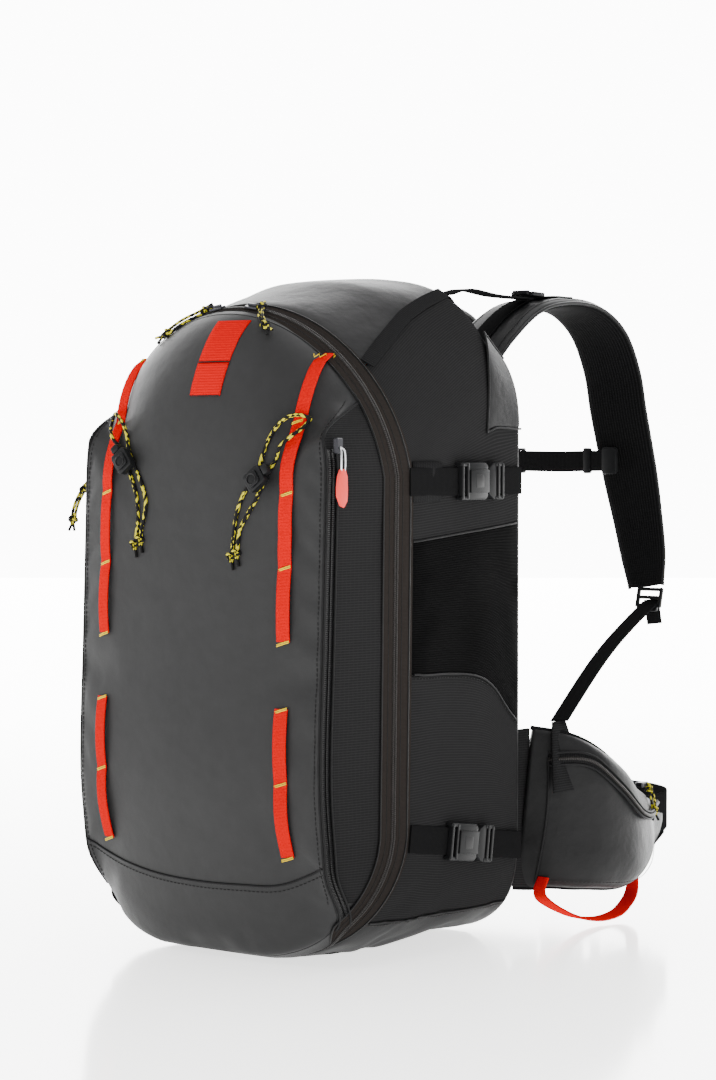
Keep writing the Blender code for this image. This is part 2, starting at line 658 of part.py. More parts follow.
def make_pocket_zip(hinge):
    slider = pivot("pocket_slider_axis", (0.1401, -0.100, 0.434))
    block("pocket_slider", (0.1401, -0.100, 0.434), (0.005, 0.008, 0.013), "steel", slider)
    swing = pivot("pocket_tab_axis", (0.1445, -0.100, 0.431))
    block("pocket_pull_tab", (0.1445, -0.100, 0.4075), (0.003, 0.010, 0.045), "salmon_tab", swing)


def arch_frame(angle, radius):
    """A frame on the main zip's arch: X along the zip, Z away from the arch's centre."""
    upward = Vector((0.0, -math.sin(ARCH_TILT), math.cos(ARCH_TILT)))
    outward = Vector((math.sin(angle), 0.0, 0.0)) + upward * math.cos(angle)
    along = Vector((math.cos(angle), 0.0, 0.0)) - upward * math.sin(angle)
    start = Vector((0.0, ARCH_CENTRE_Y, ARCH_CENTRE_Z)) + outward * radius
    return strap_frame(start, start + along, outward)


def make_main_sliders():
    outline = [
        (-0.007, -0.003), (-0.007, 0.003), (-0.003, 0.005),
        (0.007, 0.005), (0.007, -0.005), (-0.003, -0.005),
    ]
    for side, hand in ((1, "right"), (-1, "left")):
        swing = pivot(f"main_slider_{hand}_axis", (0.0, ARCH_CENTRE_Y, ARCH_CENTRE_Z))
        frame = arch_frame(math.radians(5 * side), ARCH_RADIUS + 0.004)
        plate(f"main_slider_{hand}", outline, frame, 0.005, "steel", swing)


def mirrored(route, side):
    return [(side * x, y, z) for x, y, z in route]


def make_shoulder_straps():
    for side, hand in ((1, "right"), (-1, "left")):
        hinge = pivot(f"shoulder_strap_{hand}_axis", STRAP_PIVOT)
        thicks = [0.003, 0.005] + [STRAP_HALF_THICK] * (len(STRAP_ROUTE) - 3) + [0.004]
        route = mirrored(STRAP_ROUTE, side)
        pad(f"shoulder_strap_{hand}", route, (1, 0, 0), STRAP_HALF_WIDTHS, thicks, "foam", hinge)
        anchor = bag_point(1, "arch", 0.31, 0.80) + Vector((0.0, 0.0, 0.0042))
        lifter = [tuple(anchor)] + LOAD_LIFTER
        ribbon(f"load_lifter_{hand}", mirrored(lifter, side), (1, 0, 0), 0.018, "webbing")
        ribbon(f"lower_webbing_{hand}", mirrored(LOWER_WEBBING, side), (1, 0, 0), 0.018, "webbing")


def make_sternum_strap():
    y, z = STERNUM_Y, STERNUM_Z
    right = pivot("sternum_right_axis", (0.0, y, z))
    path = [(-0.036, y, z), (0.025, y, z), (0.085, y, z)]
    ribbon("sternum_strap_right", path, (0, 0, 1), 0.020, "webbing", right)
    rings = []
    for x, middle_y, half_y, half_z in (
        (-0.085, y, 0.0009, 0.010), (-0.066, y, 0.0009, 0.010),
        (-0.062, y + 0.0030, 0.0039, 0.0125), (-0.041, y + 0.0030, 0.0039, 0.0125),
    ):
        rings.append(rounded_ring((x, middle_y, z), (0, 1, 0), (0, 0, 1), half_y, half_z, 12, 4.0))
    left = pivot("sternum_left_axis", (0.0, y, z))
    loft("sternum_strap_left", rings, "webbing", left)
    slide = pivot("sternum_clip_axis", (0.0, y, z))
    block("sternum_clip", (-0.0290, y + 0.0046, z), (0.022, 0.0070, 0.025), "buckle", slide)


def make_trigger():
    """The ripcord handle on the wearer's left strap."""
    high, low = Vector((-0.0860, 0.396, 0.507)), Vector((-0.0970, 0.411, 0.410))
    outward = Vector((0.0, 1.0, 0.15)).normalized()
    start = high.lerp(low, 0.2) + outward * 0.0078
    frame = strap_frame(start, start + low - high, outward)
    outline = [
        (0.0, -0.006), (0.030, -0.006), (0.034, -0.013), (0.050, -0.013),
        (0.050, 0.013), (0.034, 0.013), (0.030, 0.006), (0.0, 0.006),
    ]
    pull = pivot("trigger_axis", start)
    plate("trigger_handle", outline, frame, 0.012, "red_webbing", pull)


def make_hip_belt():
    """Padded wings that run out into webbing, and the buckle that joins them."""
    across, back, up = WING_PIVOT
    for side, hand in ((1, "right"), (-1, "left")):
        hinge = pivot(f"hip_wing_{hand}_axis", (side * across, back, up))
        route = mirrored(WING_ROUTE, side)
        pad(f"hip_wing_{hand}", route, (0, 0, 1), WING_HALF_HEIGHTS, WING_HALF_THICK, "ripstop", hinge)
        start = Vector((-0.036, BELT_Y - 0.006, BELT_Z))
        female, male = clip_outlines(0.048, 0.038, 0.026, 0.024, 0.032)
        frame = strap_frame(start, start + Vector((1, 0, 0)), (0, 1, 0))
        name, outline = ("belt_buckle_male", male) if side == 1 else ("belt_buckle_female", female)
        plate(name, outline, frame, 0.012, "buckle", hinge)
    right = pivot("gear_loop_axis", WING_PIVOT)
    ribbon("gear_loop", GEAR_LOOP, (1, 0, 0.2), 0.012, "red_webbing", right, 0.003)
    slide = pivot("hip_pocket_slider_axis", HIP_SLIDER)
    block("hip_pocket_slider", HIP_SLIDER, (0.008, 0.012, 0.005), "steel", slide)


def main():
    clear_scene()
    lid_hinge = pivot("lid_axis", LID_PIVOT)
    make_rear_bag()
    make_back()
    make_airbag_system()
    make_burst_flaps()
    make_compression_straps()
    make_front_shell(lid_hinge)
    make_daisy_chains(lid_hinge)
    make_accessory_cords(lid_hinge)
    make_pocket_zip(lid_hinge)
    make_main_sliders()
    make_shoulder_straps()
    make_sternum_strap()
    make_trigger()
    make_hip_belt()


main()
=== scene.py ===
"""Looks of the avalanche airbag backpack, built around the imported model.

Metres, +Z up. +Y points at the wearer's back and +X to the wearer's right. The bag's surfaces are
worked out from the same driving dimensions as the model's solids.
"""

import math

import bmesh
import bpy
from mathutils import Matrix, Vector, noise
from mathutils.bvhtree import BVHTree


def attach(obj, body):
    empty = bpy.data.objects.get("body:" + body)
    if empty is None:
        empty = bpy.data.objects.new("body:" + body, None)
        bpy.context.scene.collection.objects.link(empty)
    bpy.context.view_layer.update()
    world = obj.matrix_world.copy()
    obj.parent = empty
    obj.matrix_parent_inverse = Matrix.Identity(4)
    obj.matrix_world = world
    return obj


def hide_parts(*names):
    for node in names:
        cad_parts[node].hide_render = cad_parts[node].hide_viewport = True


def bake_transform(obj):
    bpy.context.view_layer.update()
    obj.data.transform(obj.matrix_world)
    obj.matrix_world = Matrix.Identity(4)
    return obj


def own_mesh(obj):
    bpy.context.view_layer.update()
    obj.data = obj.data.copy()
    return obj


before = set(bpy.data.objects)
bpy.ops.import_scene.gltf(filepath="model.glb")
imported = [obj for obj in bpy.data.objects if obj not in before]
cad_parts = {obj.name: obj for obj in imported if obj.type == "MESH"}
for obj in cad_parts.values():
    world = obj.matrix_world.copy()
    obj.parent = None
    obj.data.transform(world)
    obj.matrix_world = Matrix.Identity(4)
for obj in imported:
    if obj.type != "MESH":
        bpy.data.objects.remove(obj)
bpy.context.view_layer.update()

# Driving dimensions, as in the model.
HALF_WIDTH = 0.150
REAR_Y = 0.148
ARCH_RADIUS = 0.150
ARCH_CENTRE_Y = -0.0148
ARCH_CENTRE_Z = 0.4087
ARCH_TILT = math.radians(12.8)
CORNER_Z = 0.106
CORNER_RIM_Y = -0.020
CORNER_RUN = 0.066
FOLD_X = 0.134
FRONT_BULGE = 0.012
FRONT_MIDDLE_Z = 0.29
DOME_POWER = 5.0
# Height on the front panel and its depth there.
FOLD_DEPTHS = [
    (0.000, -0.097), (0.030, -0.102), (0.060, -0.107), (0.0956, -0.112), (0.157, -0.1174),
    (0.273, -0.1133), (0.3956, -0.109), (0.455, -0.108), (0.555, -0.106),
]
# Cross-sections: share of the depth, half width, power of the arch's curve, and heights of the arch's
# foot, top and base.
STATIONS = [
    (0.00, 0.150, 2.0, 0.4087, 0.555, 0.0025),
    (0.40, 0.150, 2.5, 0.415, 0.579, 0.0025),
    (0.75, 0.149, 3.3, 0.420, 0.584, 0.0025),
    (1.00, 0.147, 3.2, 0.430, 0.540, 0.0025),
]

# The diagonal tape that divides the top panel from the sides: its place on the arch at each depth.
TAPE_START, TAPE_SLOPE = 0.57, 0.297

# Main zip: how far forward of the body's rim its coil lies, and how far the lid's tape reaches past it.
COIL_AHEAD = 0.017
LID_TAPE = 0.014

# Webbing and cord sizes.
CHAIN_X = 0.100
CHAIN_WIDTH = 0.0125
CHAIN_TACKS = {"upper": [0.510, 0.455, 0.3956, 0.3348, 0.2732], "lower": [0.2183, 0.1574, 0.0956]}
STRAP_WIDTH = 0.025
COMPRESSION = {"upper": (0.404, 0.404), "lower": (0.102, 0.081)}
COMPRESSION_FRONT_Y = -0.004
COMPRESSION_REAR_Y = 0.143
BUCKLE_FRONT_Y = {"upper": 0.045, "lower": 0.030}
CORD_DIAMETER = 0.0032
CORD_LOCKS = {"right": (0.074, 0.406, math.radians(38)), "left": (-0.0765, 0.4205, math.radians(130))}
SLIDER_X = 0.0190
PULL_DIAMETER = 0.0026
PULL_KNOTS = (0.15, 0.93)
LABEL_WIDTH = 0.032

# Stitches: how far apart, how long and how thick.
STITCH_PITCH = 0.0042
STITCH_DASH = 0.0028
STITCH_THICK = 0.0007

# Foam pads on the back, and the rings that the back cloth and each pad are built from.
PAD_HEIGHTS = ((0.078, 0.190), (0.198, 0.330), (0.338, 0.462))
PAD_X = 0.0585
PAD_HALF_WIDTH = 0.0475
PAD_RINGS = (
    (0.0040, 0.0), (0.0120, 0.0004), (0.0185, 0.0030), (0.0212, 0.0075), (0.0218, 0.0160), (0.0219, 0.026),
)
BACK_RINGS = (
    (1.0, -0.0012), (0.998, 0.0012), (0.985, 0.0026), (0.95, 0.0036),
    (0.80, 0.0040), (0.5, 0.0042), (0.02, 0.0042),
)

# Cloth simulation.
DRAPE_FRAMES = 18

# View.
VIEW_TURN = math.radians(38)
VIEW_RISE = math.radians(1.81)
VIEW_DISTANCE = 2.37
VIEW_TARGET = (0.0512, 0.0400, 0.352)
VIEW_LENS = 90.07
FLOOR_REACH = 12.0
BACKDROP_DISTANCE = 7.0
BACKDROP_REACH = 9.0

HANDS = ((1, "right"), (-1, "left"))
MATERIALS = {}


# ---------------------------------------------------------------- shape functions

def between(low, high, share):
    return low + (high - low) * share


def spaced(low, high, count):
    """Evenly spaced values from low to high."""
    return [between(low, high, i / (count - 1)) for i in range(count)]


def eased(value, low, high):
    """0 below low, 1 above high, and smooth between."""
    share = min(max((value - low) / (high - low), 0.0), 1.0)
    return share * share * (3 - 2 * share)


def profile_at(table, value):
    """A smooth value from a table of (place, value) rows."""
    if value <= table[0][0]:
        return table[0][1]
    for i in range(len(table) - 1):
        (x0, y0), (x1, y1) = table[i], table[i + 1]
        if value <= x1:
            xa, ya = table[max(i - 1, 0)]
            xb, yb = table[min(i + 2, len(table) - 1)]
            t = (value - x0) / (x1 - x0)
            start = (y1 - ya) / (x1 - xa) * (x1 - x0)
            end = (yb - y0) / (xb - x0) * (x1 - x0)
            return (
                (2 * t ** 3 - 3 * t ** 2 + 1) * y0 + (t ** 3 - 2 * t ** 2 + t) * start
                + (3 * t ** 2 - 2 * t ** 3) * y1 + (t ** 3 - t ** 2) * end
            )
    return table[-1][1]


def station_at(share):
    """The cross-section's numbers at a share of the bag's depth."""
    for low, high in zip(STATIONS, STATIONS[1:]):
        if share <= high[0]:
            t = (share - low[0]) / (high[0] - low[0])
            return [between(a, b, t) for a, b in zip(low[1:], high[1:])]
    return list(STATIONS[-1][1:])


def section_point(share, zone, t):
    """Half width and height on the bag's outline, from the top (arch) to the base centre (corner)."""
    half, power, middle, top, base = station_at(share)
    if zone == "side":
        return half, between(middle, CORNER_Z, t)
    angle = math.pi / 2 * t
    if zone == "arch":
        x = half * math.sin(angle) ** (2 / power)
        return x, middle + (top - middle) * max(math.cos(angle), 0.0) ** (2 / power)
    power = between(3.0, 3.5, min(share * 3, 1.0))
    depth = CORNER_Z + between(0.0, 0.004, min(share * 3, 1.0))
    x = half * max(math.cos(angle), 0.0) ** (2 / power)
    return x, max(CORNER_Z - depth * math.sin(angle) ** (2 / power), base)


def rim_y(zone, t):
    """The front edge of the bag's body, seen from the side."""
    if zone == "arch":
        return ARCH_CENTRE_Y - ARCH_RADIUS * math.sin(ARCH_TILT) * math.cos(math.pi / 2 * t)
    if zone == "side":
        return between(ARCH_CENTRE_Y, CORNER_RIM_Y, t)
    return CORNER_RIM_Y - CORNER_RUN * math.sin(math.pi / 2 * t)


def bag_point(side, zone, t, share):
    x, z = section_point(share, zone, t)
    return Vector((side * x, between(rim_y(zone, t), REAR_Y, share), z))


def tape_line(share):
    """Where the diagonal tape crosses the arch at a share of the depth."""
    return TAPE_START - TAPE_SLOPE * share


def plain_front_y(x, z):
    """The front panel's surface if it ran straight to its edges."""
    return profile_at(FOLD_DEPTHS, z) - FRONT_BULGE * (1 - (x / FOLD_X) ** 2)


def fold_strength(zone, t):
    """1 where the front has a gusset and a fold, near 0 where the panel meets the zip."""
    if zone == "side":
        return 1.0
    rise, least = ((t - 0.63) / 0.23, 0.10) if zone == "arch" else ((0.45 - t) / 0.40, 0.50)
    rise = min(max(rise, 0.0), 1.0)
    return between(least, 1.0, rise * rise * (3 - 2 * rise))


def fold_point(zone, t):
    """The front panel's edge on the right-hand side."""
    x, z = section_point(0.0, zone, t)
    folded = Vector((x * FOLD_X / HALF_WIDTH, plain_front_y(x * FOLD_X / HALF_WIDTH, z), z))
    rim = Vector((x, rim_y(zone, t), z))
    point = rim.lerp(folded, fold_strength(zone, t))
    point.z = between(FRONT_MIDDLE_Z, point.z, 0.99)
    return point


def domed(edge_y, x, z, scale):
    """The front panel's depth at a share of the way from its middle to its edge."""
    dome = math.sqrt(max(1 - scale ** DOME_POWER, 0.0))
    return between(edge_y, plain_front_y(x, z), dome)


def steps(zone, low, high, count):
    return [(zone, t) for t in spaced(low, high, count)]


def ring_of(half):
    """The whole outline from its right half, which runs from the top centre to the base centre."""
    return [(1, zone, t) for zone, t in half] + [(-1, zone, t) for zone, t in reversed(half[1:-1])]


def through(before, start, end, after, t):
    """A place between start and end on the smooth curve through all four."""
    return 0.5 * (
        2 * start + (end - before) * t
        + (2 * before - 5 * start + 4 * end - after) * t ** 2
        + (3 * start - before - 3 * end + after) * t ** 3
    )


def smooth_route(route, per_span):
    """Points on one smooth curve through a route."""
    points = [Vector(p) for p in route]
    points = [2 * points[0] - points[1]] + points + [2 * points[-1] - points[-2]]
    curve = []
    for i in range(1, len(points) - 2):
        curve += [through(*points[i - 1:i + 3], step / per_span) for step in range(per_span)]
    curve.append(points[-2])
    return curve


def values_along(values, count):
    """The values smoothly spread over a number of places."""
    out = []
    for want in spaced(0.0, len(values) - 1, count):
        i = min(int(want), len(values) - 2)
        before, after = values[max(i - 1, 0)], values[min(i + 2, len(values) - 1)]
        out.append(through(before, values[i], values[i + 1], after, want - i))
    return out


def evenly(path, count):
    """The path resampled to points the same distance apart."""
    path = [Vector(p) for p in path]
    lengths = [0.0]
    for a, b in zip(path, path[1:]):
        lengths.append(lengths[-1] + (b - a).length)
    out, i = [], 0
    for k in range(count):
        want = lengths[-1] * k / (count - 1)
        while i < len(path) - 2 and lengths[i + 1] < want:
            i += 1
        span = max(lengths[i + 1] - lengths[i], 1e-9)
        out.append(path[i].lerp(path[i + 1], (want - lengths[i]) / span))
    return out


def path_length(path):
    return sum((Vector(b) - Vector(a)).length for a, b in zip(path, path[1:]))


def mirrored(route, side):
    return [Vector((side * p[0], p[1], p[2])) for p in route]


def bulge(i, count):
    """0 at both ends of a run of steps and 1 in its middle."""
    return math.sin(math.pi * i / count)


def squared_ring(count, u_power, v_power):
    """Points round a unit circle, which powers below 1 draw out towards a square."""
    ring = []
    for i in range(count):
        angle = math.tau * (i + 0.5) / count
        c, s = math.cos(angle), math.sin(angle)
        ring.append((math.copysign(abs(c) ** u_power, c), math.copysign(abs(s) ** v_power, s)))
    return ring


# ---------------------------------------------------------------- mesh helpers

def place(name, mesh, material, body, replaced=(), slot=None):
    """A piece in the scene, riding on a body."""
    thing = bpy.data.objects.new(name, mesh)
    bpy.context.scene.collection.objects.link(thing)
    if material is not None:
        for one in (material if isinstance(material, (list, tuple)) else [material]):
            mesh.materials.append(MATERIALS[one])
    if body is not None:
        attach(thing, body)
    if replaced:
        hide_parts(*replaced)
    return thing


def mesh_of(name, points, faces, uvs=None):
    """A smooth mesh; uvs holds one place in metres for each corner of each face."""
    mesh = bpy.data.meshes.new(name)
    mesh.from_pydata([tuple(p) for p in points], [], faces)
    if uvs is not None:
        layer = mesh.uv_layers.new(name="metres")
        flat = [c for corner in uvs for c in corner]
        layer.data.foreach_set("uv", flat)
    mesh.shade_smooth()
    return mesh


def grid_mesh(name, rows, closed=False):
    """A surface through a grid of points, with its real lengths as UVs."""
    across = len(rows[0])
    down = [0.0]
    for a, b in zip(rows, rows[1:]):
        down.append(down[-1] + sum((q - p).length for p, q in zip(a, b)) / across)
    middle = rows[len(rows) // 2]
    along = [0.0]
    for j in range(across):
        along.append(along[-1] + (middle[(j + 1) % across] - middle[j]).length)
    faces, uvs = [], []
    for i in range(len(rows) - 1):
        for j in range(across if closed else across - 1):
            k = (j + 1) % across
            faces.append((i * across + j, i * across + k, (i + 1) * across + k, (i + 1) * across + j))
            uvs += [
                (along[j], down[i]), (along[j + 1], down[i]),
                (along[j + 1], down[i + 1]), (along[j], down[i + 1]),
            ]
    return mesh_of(name, [p for row in rows for p in row], faces, uvs)


def facing(mesh, outward_of):
    """Turns the mesh so that its faces point away from a point."""
    total = sum((p.center - Vector(outward_of)).dot(p.normal) * p.area for p in mesh.polygons)
    if total < 0:
        mesh.flip_normals()
    return mesh


def grid_piece(name, rows, inward, material, body, replaced=(), slot=None, closed=False):
    """A sheet through a grid of points, facing away from the point `inward`."""
    mesh = facing(grid_mesh(name, rows, closed), inward)
    return place(name, mesh, material, body, replaced, slot)


def filled(mesh):
    """The mesh with its open ends closed and its faces turned outwards."""
    shaped = bmesh.new()
    shaped.from_mesh(mesh)
    bmesh.ops.holes_fill(shaped, edges=shaped.edges)
    bmesh.ops.recalc_face_normals(shaped, faces=shaped.faces)
    shaped.to_mesh(mesh)
    shaped.free()
    mesh.shade_smooth()
    return mesh


def tree_of(mesh):
    return BVHTree.FromPolygons([v.co.copy() for v in mesh.vertices], [p.vertices[:] for p in mesh.polygons])


def thicken(thing, thickness, lined=False):
    """Thickness added behind a sheet; a lined one shows its next material on the inside."""
    solid = thing.modifiers.new("thickness", "SOLIDIFY")
    solid.thickness = thickness
    solid.offset = -1.0
    solid.material_offset = 1 if lined else 0
    return thing


def refine(thing):
    finer = thing.modifiers.new("finer", "SUBSURF")
    finer.levels = 1
    finer.render_levels = 1


def frames_along(path, across=None):
    """Tangent, side and normal at each point; the side follows `across`, or turns as little as possible."""
    path = [Vector(p) for p in path]
    out, carried = [], None
    for i, point in enumerate(path):
        tangent = (path[min(i + 1, len(path) - 1)] - path[max(i - 1, 0)]).normalized()
        if across is not None:
            wanted = Vector(across[i] if isinstance(across, list) else across)
        else:
            wanted = carried if carried is not None else tangent.orthogonal()
        side = (wanted - tangent * wanted.dot(tangent)).normalized()
        carried = side
        out.append((point, tangent, side, tangent.cross(side).normalized()))
    return out


def sweep(name, path, section, across=None, capped=True):
    """A section of (side, normal) points carried along a path, with UVs round and along it."""
    frames = frames_along(path, across)
    count = len(section)
    around = [0.0]
    for a, b in zip(section, section[1:] + section[:1]):
        around.append(around[-1] + math.hypot(b[0] - a[0], b[1] - a[1]))
    lengths = [0.0]
    for a, b in zip(frames, frames[1:]):
        lengths.append(lengths[-1] + (b[0] - a[0]).length)
    points = [point + side * u + normal * v for point, _, side, normal in frames for u, v in section]
    faces, uvs = [], []
    for i in range(len(frames) - 1):
        for j in range(count):
            k = (j + 1) % count
            faces.append((i * count + j, i * count + k, (i + 1) * count + k, (i + 1) * count + j))
            uvs += [
                (around[j], lengths[i]), (around[j + 1], lengths[i]),
                (around[j + 1], lengths[i + 1]), (around[j], lengths[i + 1]),
            ]
    if capped:
        first = tuple(range(count))
        last = tuple(range(len(points) - count, len(points)))
        faces += [tuple(reversed(first)), last]
        uvs += [(0.0, 0.0)] * (2 * count)
    mesh = mesh_of(name, points, faces, uvs)
    shaped = bmesh.new()
    shaped.from_mesh(mesh)
    bmesh.ops.recalc_face_normals(shaped, faces=shaped.faces)
    shaped.to_mesh(mesh)
    shaped.free()
    mesh.shade_smooth()
    mesh.set_sharp_from_angle(angle=math.radians(50))
    return mesh


def round_section(radius, sides=8):
    angles = [math.tau * i / sides for i in range(sides)]
    return [(radius * math.cos(angle), radius * math.sin(angle)) for angle in angles]


def band_section(width, thickness):
    """A flat band with softly rounded edges."""
    half, thick = width / 2, thickness / 2
    edge = min(thick, half * 0.5)
    top = [(u * (half - edge), thick) for u in (-1.0, -0.5, 0.0, 0.5, 1.0)]
    right = [(half - edge * 0.3, thick * 0.7), (half, 0.0), (half - edge * 0.3, -thick * 0.7)]
    return top + right + [(-u, -v) for u, v in top + right]


def tube(name, path, diameter, material, body, sides=8, **more):
    return place(name, sweep(name, path, round_section(diameter / 2, sides)), material, body, **more)


def moulded(name, parts, bevel=0.0007):
    """One mesh of extruded outlines with softened edges; each part is (outline, low, high, frame)."""
    shaped = bmesh.new()
    for outline, low, high, turn in parts:
        bottom = [shaped.verts.new(turn @ Vector((x, y, low))) for x, y in outline]
        top = [shaped.verts.new(turn @ Vector((x, y, high))) for x, y in outline]
        shaped.faces.new(bottom)
        shaped.faces.new(top)
        for i in range(len(outline)):
            k = (i + 1) % len(outline)
            shaped.faces.new((bottom[i], bottom[k], top[k], top[i]))
    bmesh.ops.recalc_face_normals(shaped, faces=shaped.faces)
    edges = [e for e in shaped.edges if e.is_manifold and e.calc_face_angle() > math.radians(30)]
    bmesh.ops.bevel(shaped, geom=edges, offset=bevel, segments=2, affect="EDGES", profile=0.6)
    mesh = bpy.data.meshes.new(name)
    shaped.to_mesh(mesh)
    shaped.free()
    mesh.shade_smooth()
    mesh.set_sharp_from_angle(angle=math.radians(45))
    return mesh


def joined(name, meshes):
    """One mesh from several."""
    shaped = bmesh.new()
    for mesh in meshes:
        shaped.from_mesh(mesh)
    made = bpy.data.meshes.new(name)
    shaped.to_mesh(made)
    shaped.free()
    made.shade_smooth()
    made.set_sharp_from_angle(angle=math.radians(50))
    for mesh in meshes:
        bpy.data.meshes.remove(mesh)
    return made


def strap_frame(start, end, outward):
    """A local frame at start: X towards end, Z outward."""
    x_axis = (Vector(end) - Vector(start)).normalized()
    z_axis = Vector(outward).normalized()
    y_axis = z_axis.cross(x_axis)
    turn = Matrix((x_axis, y_axis, z_axis)).transposed().to_4x4()
    return Matrix.Translation(start) @ turn


def rounded_box(cx, cy, width, height, corner):
    """The outline of a rectangle with round corners."""
    out = []
    for sx, sy, start in ((1, 1, 0), (-1, 1, 90), (-1, -1, 180), (1, -1, 270)):
        for turned in (0, 30, 60, 90):
            angle = math.radians(start + turned)
            x = cx + sx * (width / 2 - corner) + corner * math.cos(angle)
            y = cy + sy * (height / 2 - corner) + corner * math.sin(angle)
            out.append((x, y))
    return out


def stitch_row(name, path, outward, material, body):
    """A row of stitches along a path, as small beads of thread lying on the cloth."""
    count = max(int(path_length(path) / STITCH_PITCH), 2)
    places = evenly(path, count * 2 + 1)
    section = round_section(STITCH_THICK / 2, 5)
    lift = Vector(outward) * STITCH_THICK * 0.35
    dip = lift * 1.6
    meshes = []
    for i in range(count):
        middle = places[2 * i + 1]
        along = (places[2 * i + 2] - places[2 * i]).normalized() * STITCH_DASH / 2
        beads = [
            middle - along - dip, middle - along * 0.6 + lift,
            middle + along * 0.6 + lift, middle + along - dip,
        ]
        meshes.append(sweep("bead", beads, section))
    return place(name, joined(name, meshes), material, body)


def drape(piece, held, pressure, slack, cap, bending=1.0):
    """Cloth simulation of a sheet held at some of its points, its movement capped, kept as the mesh."""
    rest = [v.co.copy() for v in piece.data.vertices]
    group = piece.vertex_groups.new(name="held")
    for index, weight in held.items():
        group.add([index], weight, "REPLACE")
    cloth = piece.modifiers.new("cloth", "CLOTH")
    settings = cloth.settings
    settings.vertex_group_mass = "held"
    settings.quality = 4
    settings.mass = 0.2
    settings.tension_stiffness = 25
    settings.compression_stiffness = 25
    settings.shear_stiffness = 12
    settings.bending_stiffness = bending
    settings.shrink_min = -slack
    settings.use_pressure = True
    settings.uniform_pressure_force = pressure
    settings.effector_weights.gravity = 0
    cloth.collision_settings.use_collision = False
    scene = bpy.context.scene
    for step in range(1, DRAPE_FRAMES + 1):
        scene.frame_set(step)
    seen = piece.evaluated_get(bpy.context.evaluated_depsgraph_get())
    moved = [v.co.copy() for v in seen.data.vertices]
    piece.modifiers.remove(cloth)
    for vertex, before, after in zip(piece.data.vertices, rest, moved):
        step = after - before
        if step.length > cap:
            step = step.normalized() * cap
        vertex.co = before + step
    scene.frame_set(1)
    return piece


# ---------------------------------------------------------------- materials

class Finish:
    """A material under construction, with short calls for the patterns used here."""

    def __init__(self, name, colour, roughness, metallic=0.0, gloss=0.15):
        made = bpy.data.materials.new(name)
        made.use_nodes = True
        self.nodes, self.links = made.node_tree.nodes, made.node_tree.links
        self.surface = self.nodes["Principled BSDF"]
        self.colour = colour
        self.set("Base Color", (*colour, 1.0))
        self.set("Roughness", roughness)
        self.set("Metallic", metallic)
        self.set("Specular IOR Level", gloss)
        MATERIALS[name] = made

    def put(self, value, socket):
        """A socket takes a plain value or another node's output."""
        if isinstance(value, bpy.types.NodeSocket):
            self.links.new(value, socket)
        else:
            socket.default_value = value

    def set(self, name, value):
        self.put(value, self.surface.inputs[name])
        return self

    def math(self, operation, *values):
        node = self.nodes.new("ShaderNodeMath")
        node.operation = operation
        for value, socket in zip(values, node.inputs):
            self.put(value, socket)
        return node.outputs[0]

    def metres(self):
        """The place round and along the cloth, in metres."""
        layer = self.nodes.new("ShaderNodeUVMap")
        layer.uv_map = "metres"
        parts = self.nodes.new("ShaderNodeSeparateXYZ")
        self.put(layer.outputs[0], parts.inputs[0])
        return parts.outputs[0], parts.outputs[1]

    def ribs(self, place, pitch):
        """From 0 in the grooves to 1 on the ribs of a pattern repeated at a pitch."""
        return self.math("MULTIPLY", self.math("PINGPONG", self.math("DIVIDE", place, pitch), 0.5), 2.0)

    def noise(self, size, detail=2.0):
        """Soft random values from 0 to 1, with features of about a size."""
        where = self.nodes.new("ShaderNodeTexCoord")
        node = self.nodes.new("ShaderNodeTexNoise")
        self.put(where.outputs["Object"], node.inputs["Vector"])
        self.put(1 / size, node.inputs["Scale"])
        self.put(detail, node.inputs["Detail"])
        return node.outputs[0]

    def mix(self, share, low, high):
        node = self.nodes.new("ShaderNodeMix")
        node.data_type = "RGBA"
        self.put(share, node.inputs[0])
        self.put((*low, 1.0), node.inputs[6])
        self.put((*high, 1.0), node.inputs[7])
        return node.outputs[2]

    def bump(self, height, distance, strength=1.0):
        node = self.nodes.new("ShaderNodeBump")
        self.put(height, node.inputs["Height"])
        self.put(distance, node.inputs["Distance"])
        self.put(strength, node.inputs["Strength"])
        return self.set("Normal", node.outputs[0])

    def tint(self, share, low, high):
        """Colour that runs from one multiple of the plain colour to another."""
        first = [c * low for c in self.colour]
        second = [c * high for c in self.colour]
        return self.set("Base Color", self.mix(share, first, second))


def coated_finish(name, colour, roughness, wrinkle=0.0012, gloss=0.16):
    made = Finish(name, colour, roughness, gloss=gloss)
    u, v = made.metres()
    weave = made.math("MULTIPLY", made.ribs(u, 0.0009), made.ribs(v, 0.0009))
    soft = made.noise(0.030, 3.0)
    height = made.math("ADD", made.math("MULTIPLY", weave, 0.03), made.math("MULTIPLY", soft, 0.9))
    made.bump(height, wrinkle, 0.8)
    made.tint(made.noise(0.012, 4.0), 0.86, 1.14)
    return made


def ripstop_finish(name, colour, pitch):
    """Light cloth with a raised thread every few weave rows."""
    made = Finish(name, colour, 0.72, gloss=0.0)
    u, v = made.metres()
    rows = made.math("GREATER_THAN", made.ribs(u, pitch), 0.62)
    columns = made.math("MULTIPLY", made.math("GREATER_THAN", made.ribs(v, pitch), 0.80), 0.35)
    grid = made.math("MAXIMUM", rows, columns)
    soft = made.math("MULTIPLY", made.noise(0.028, 3.0), 4.0)
    made.bump(made.math("ADD", made.math("MULTIPLY", grid, 0.5), soft), 0.00035, 0.7)
    # The raised threads are painted lighter and the cloth between them darker: painted highlight and shade on
    # the grid's relief.
    made.tint(grid, 0.85, 1.35)
    return made


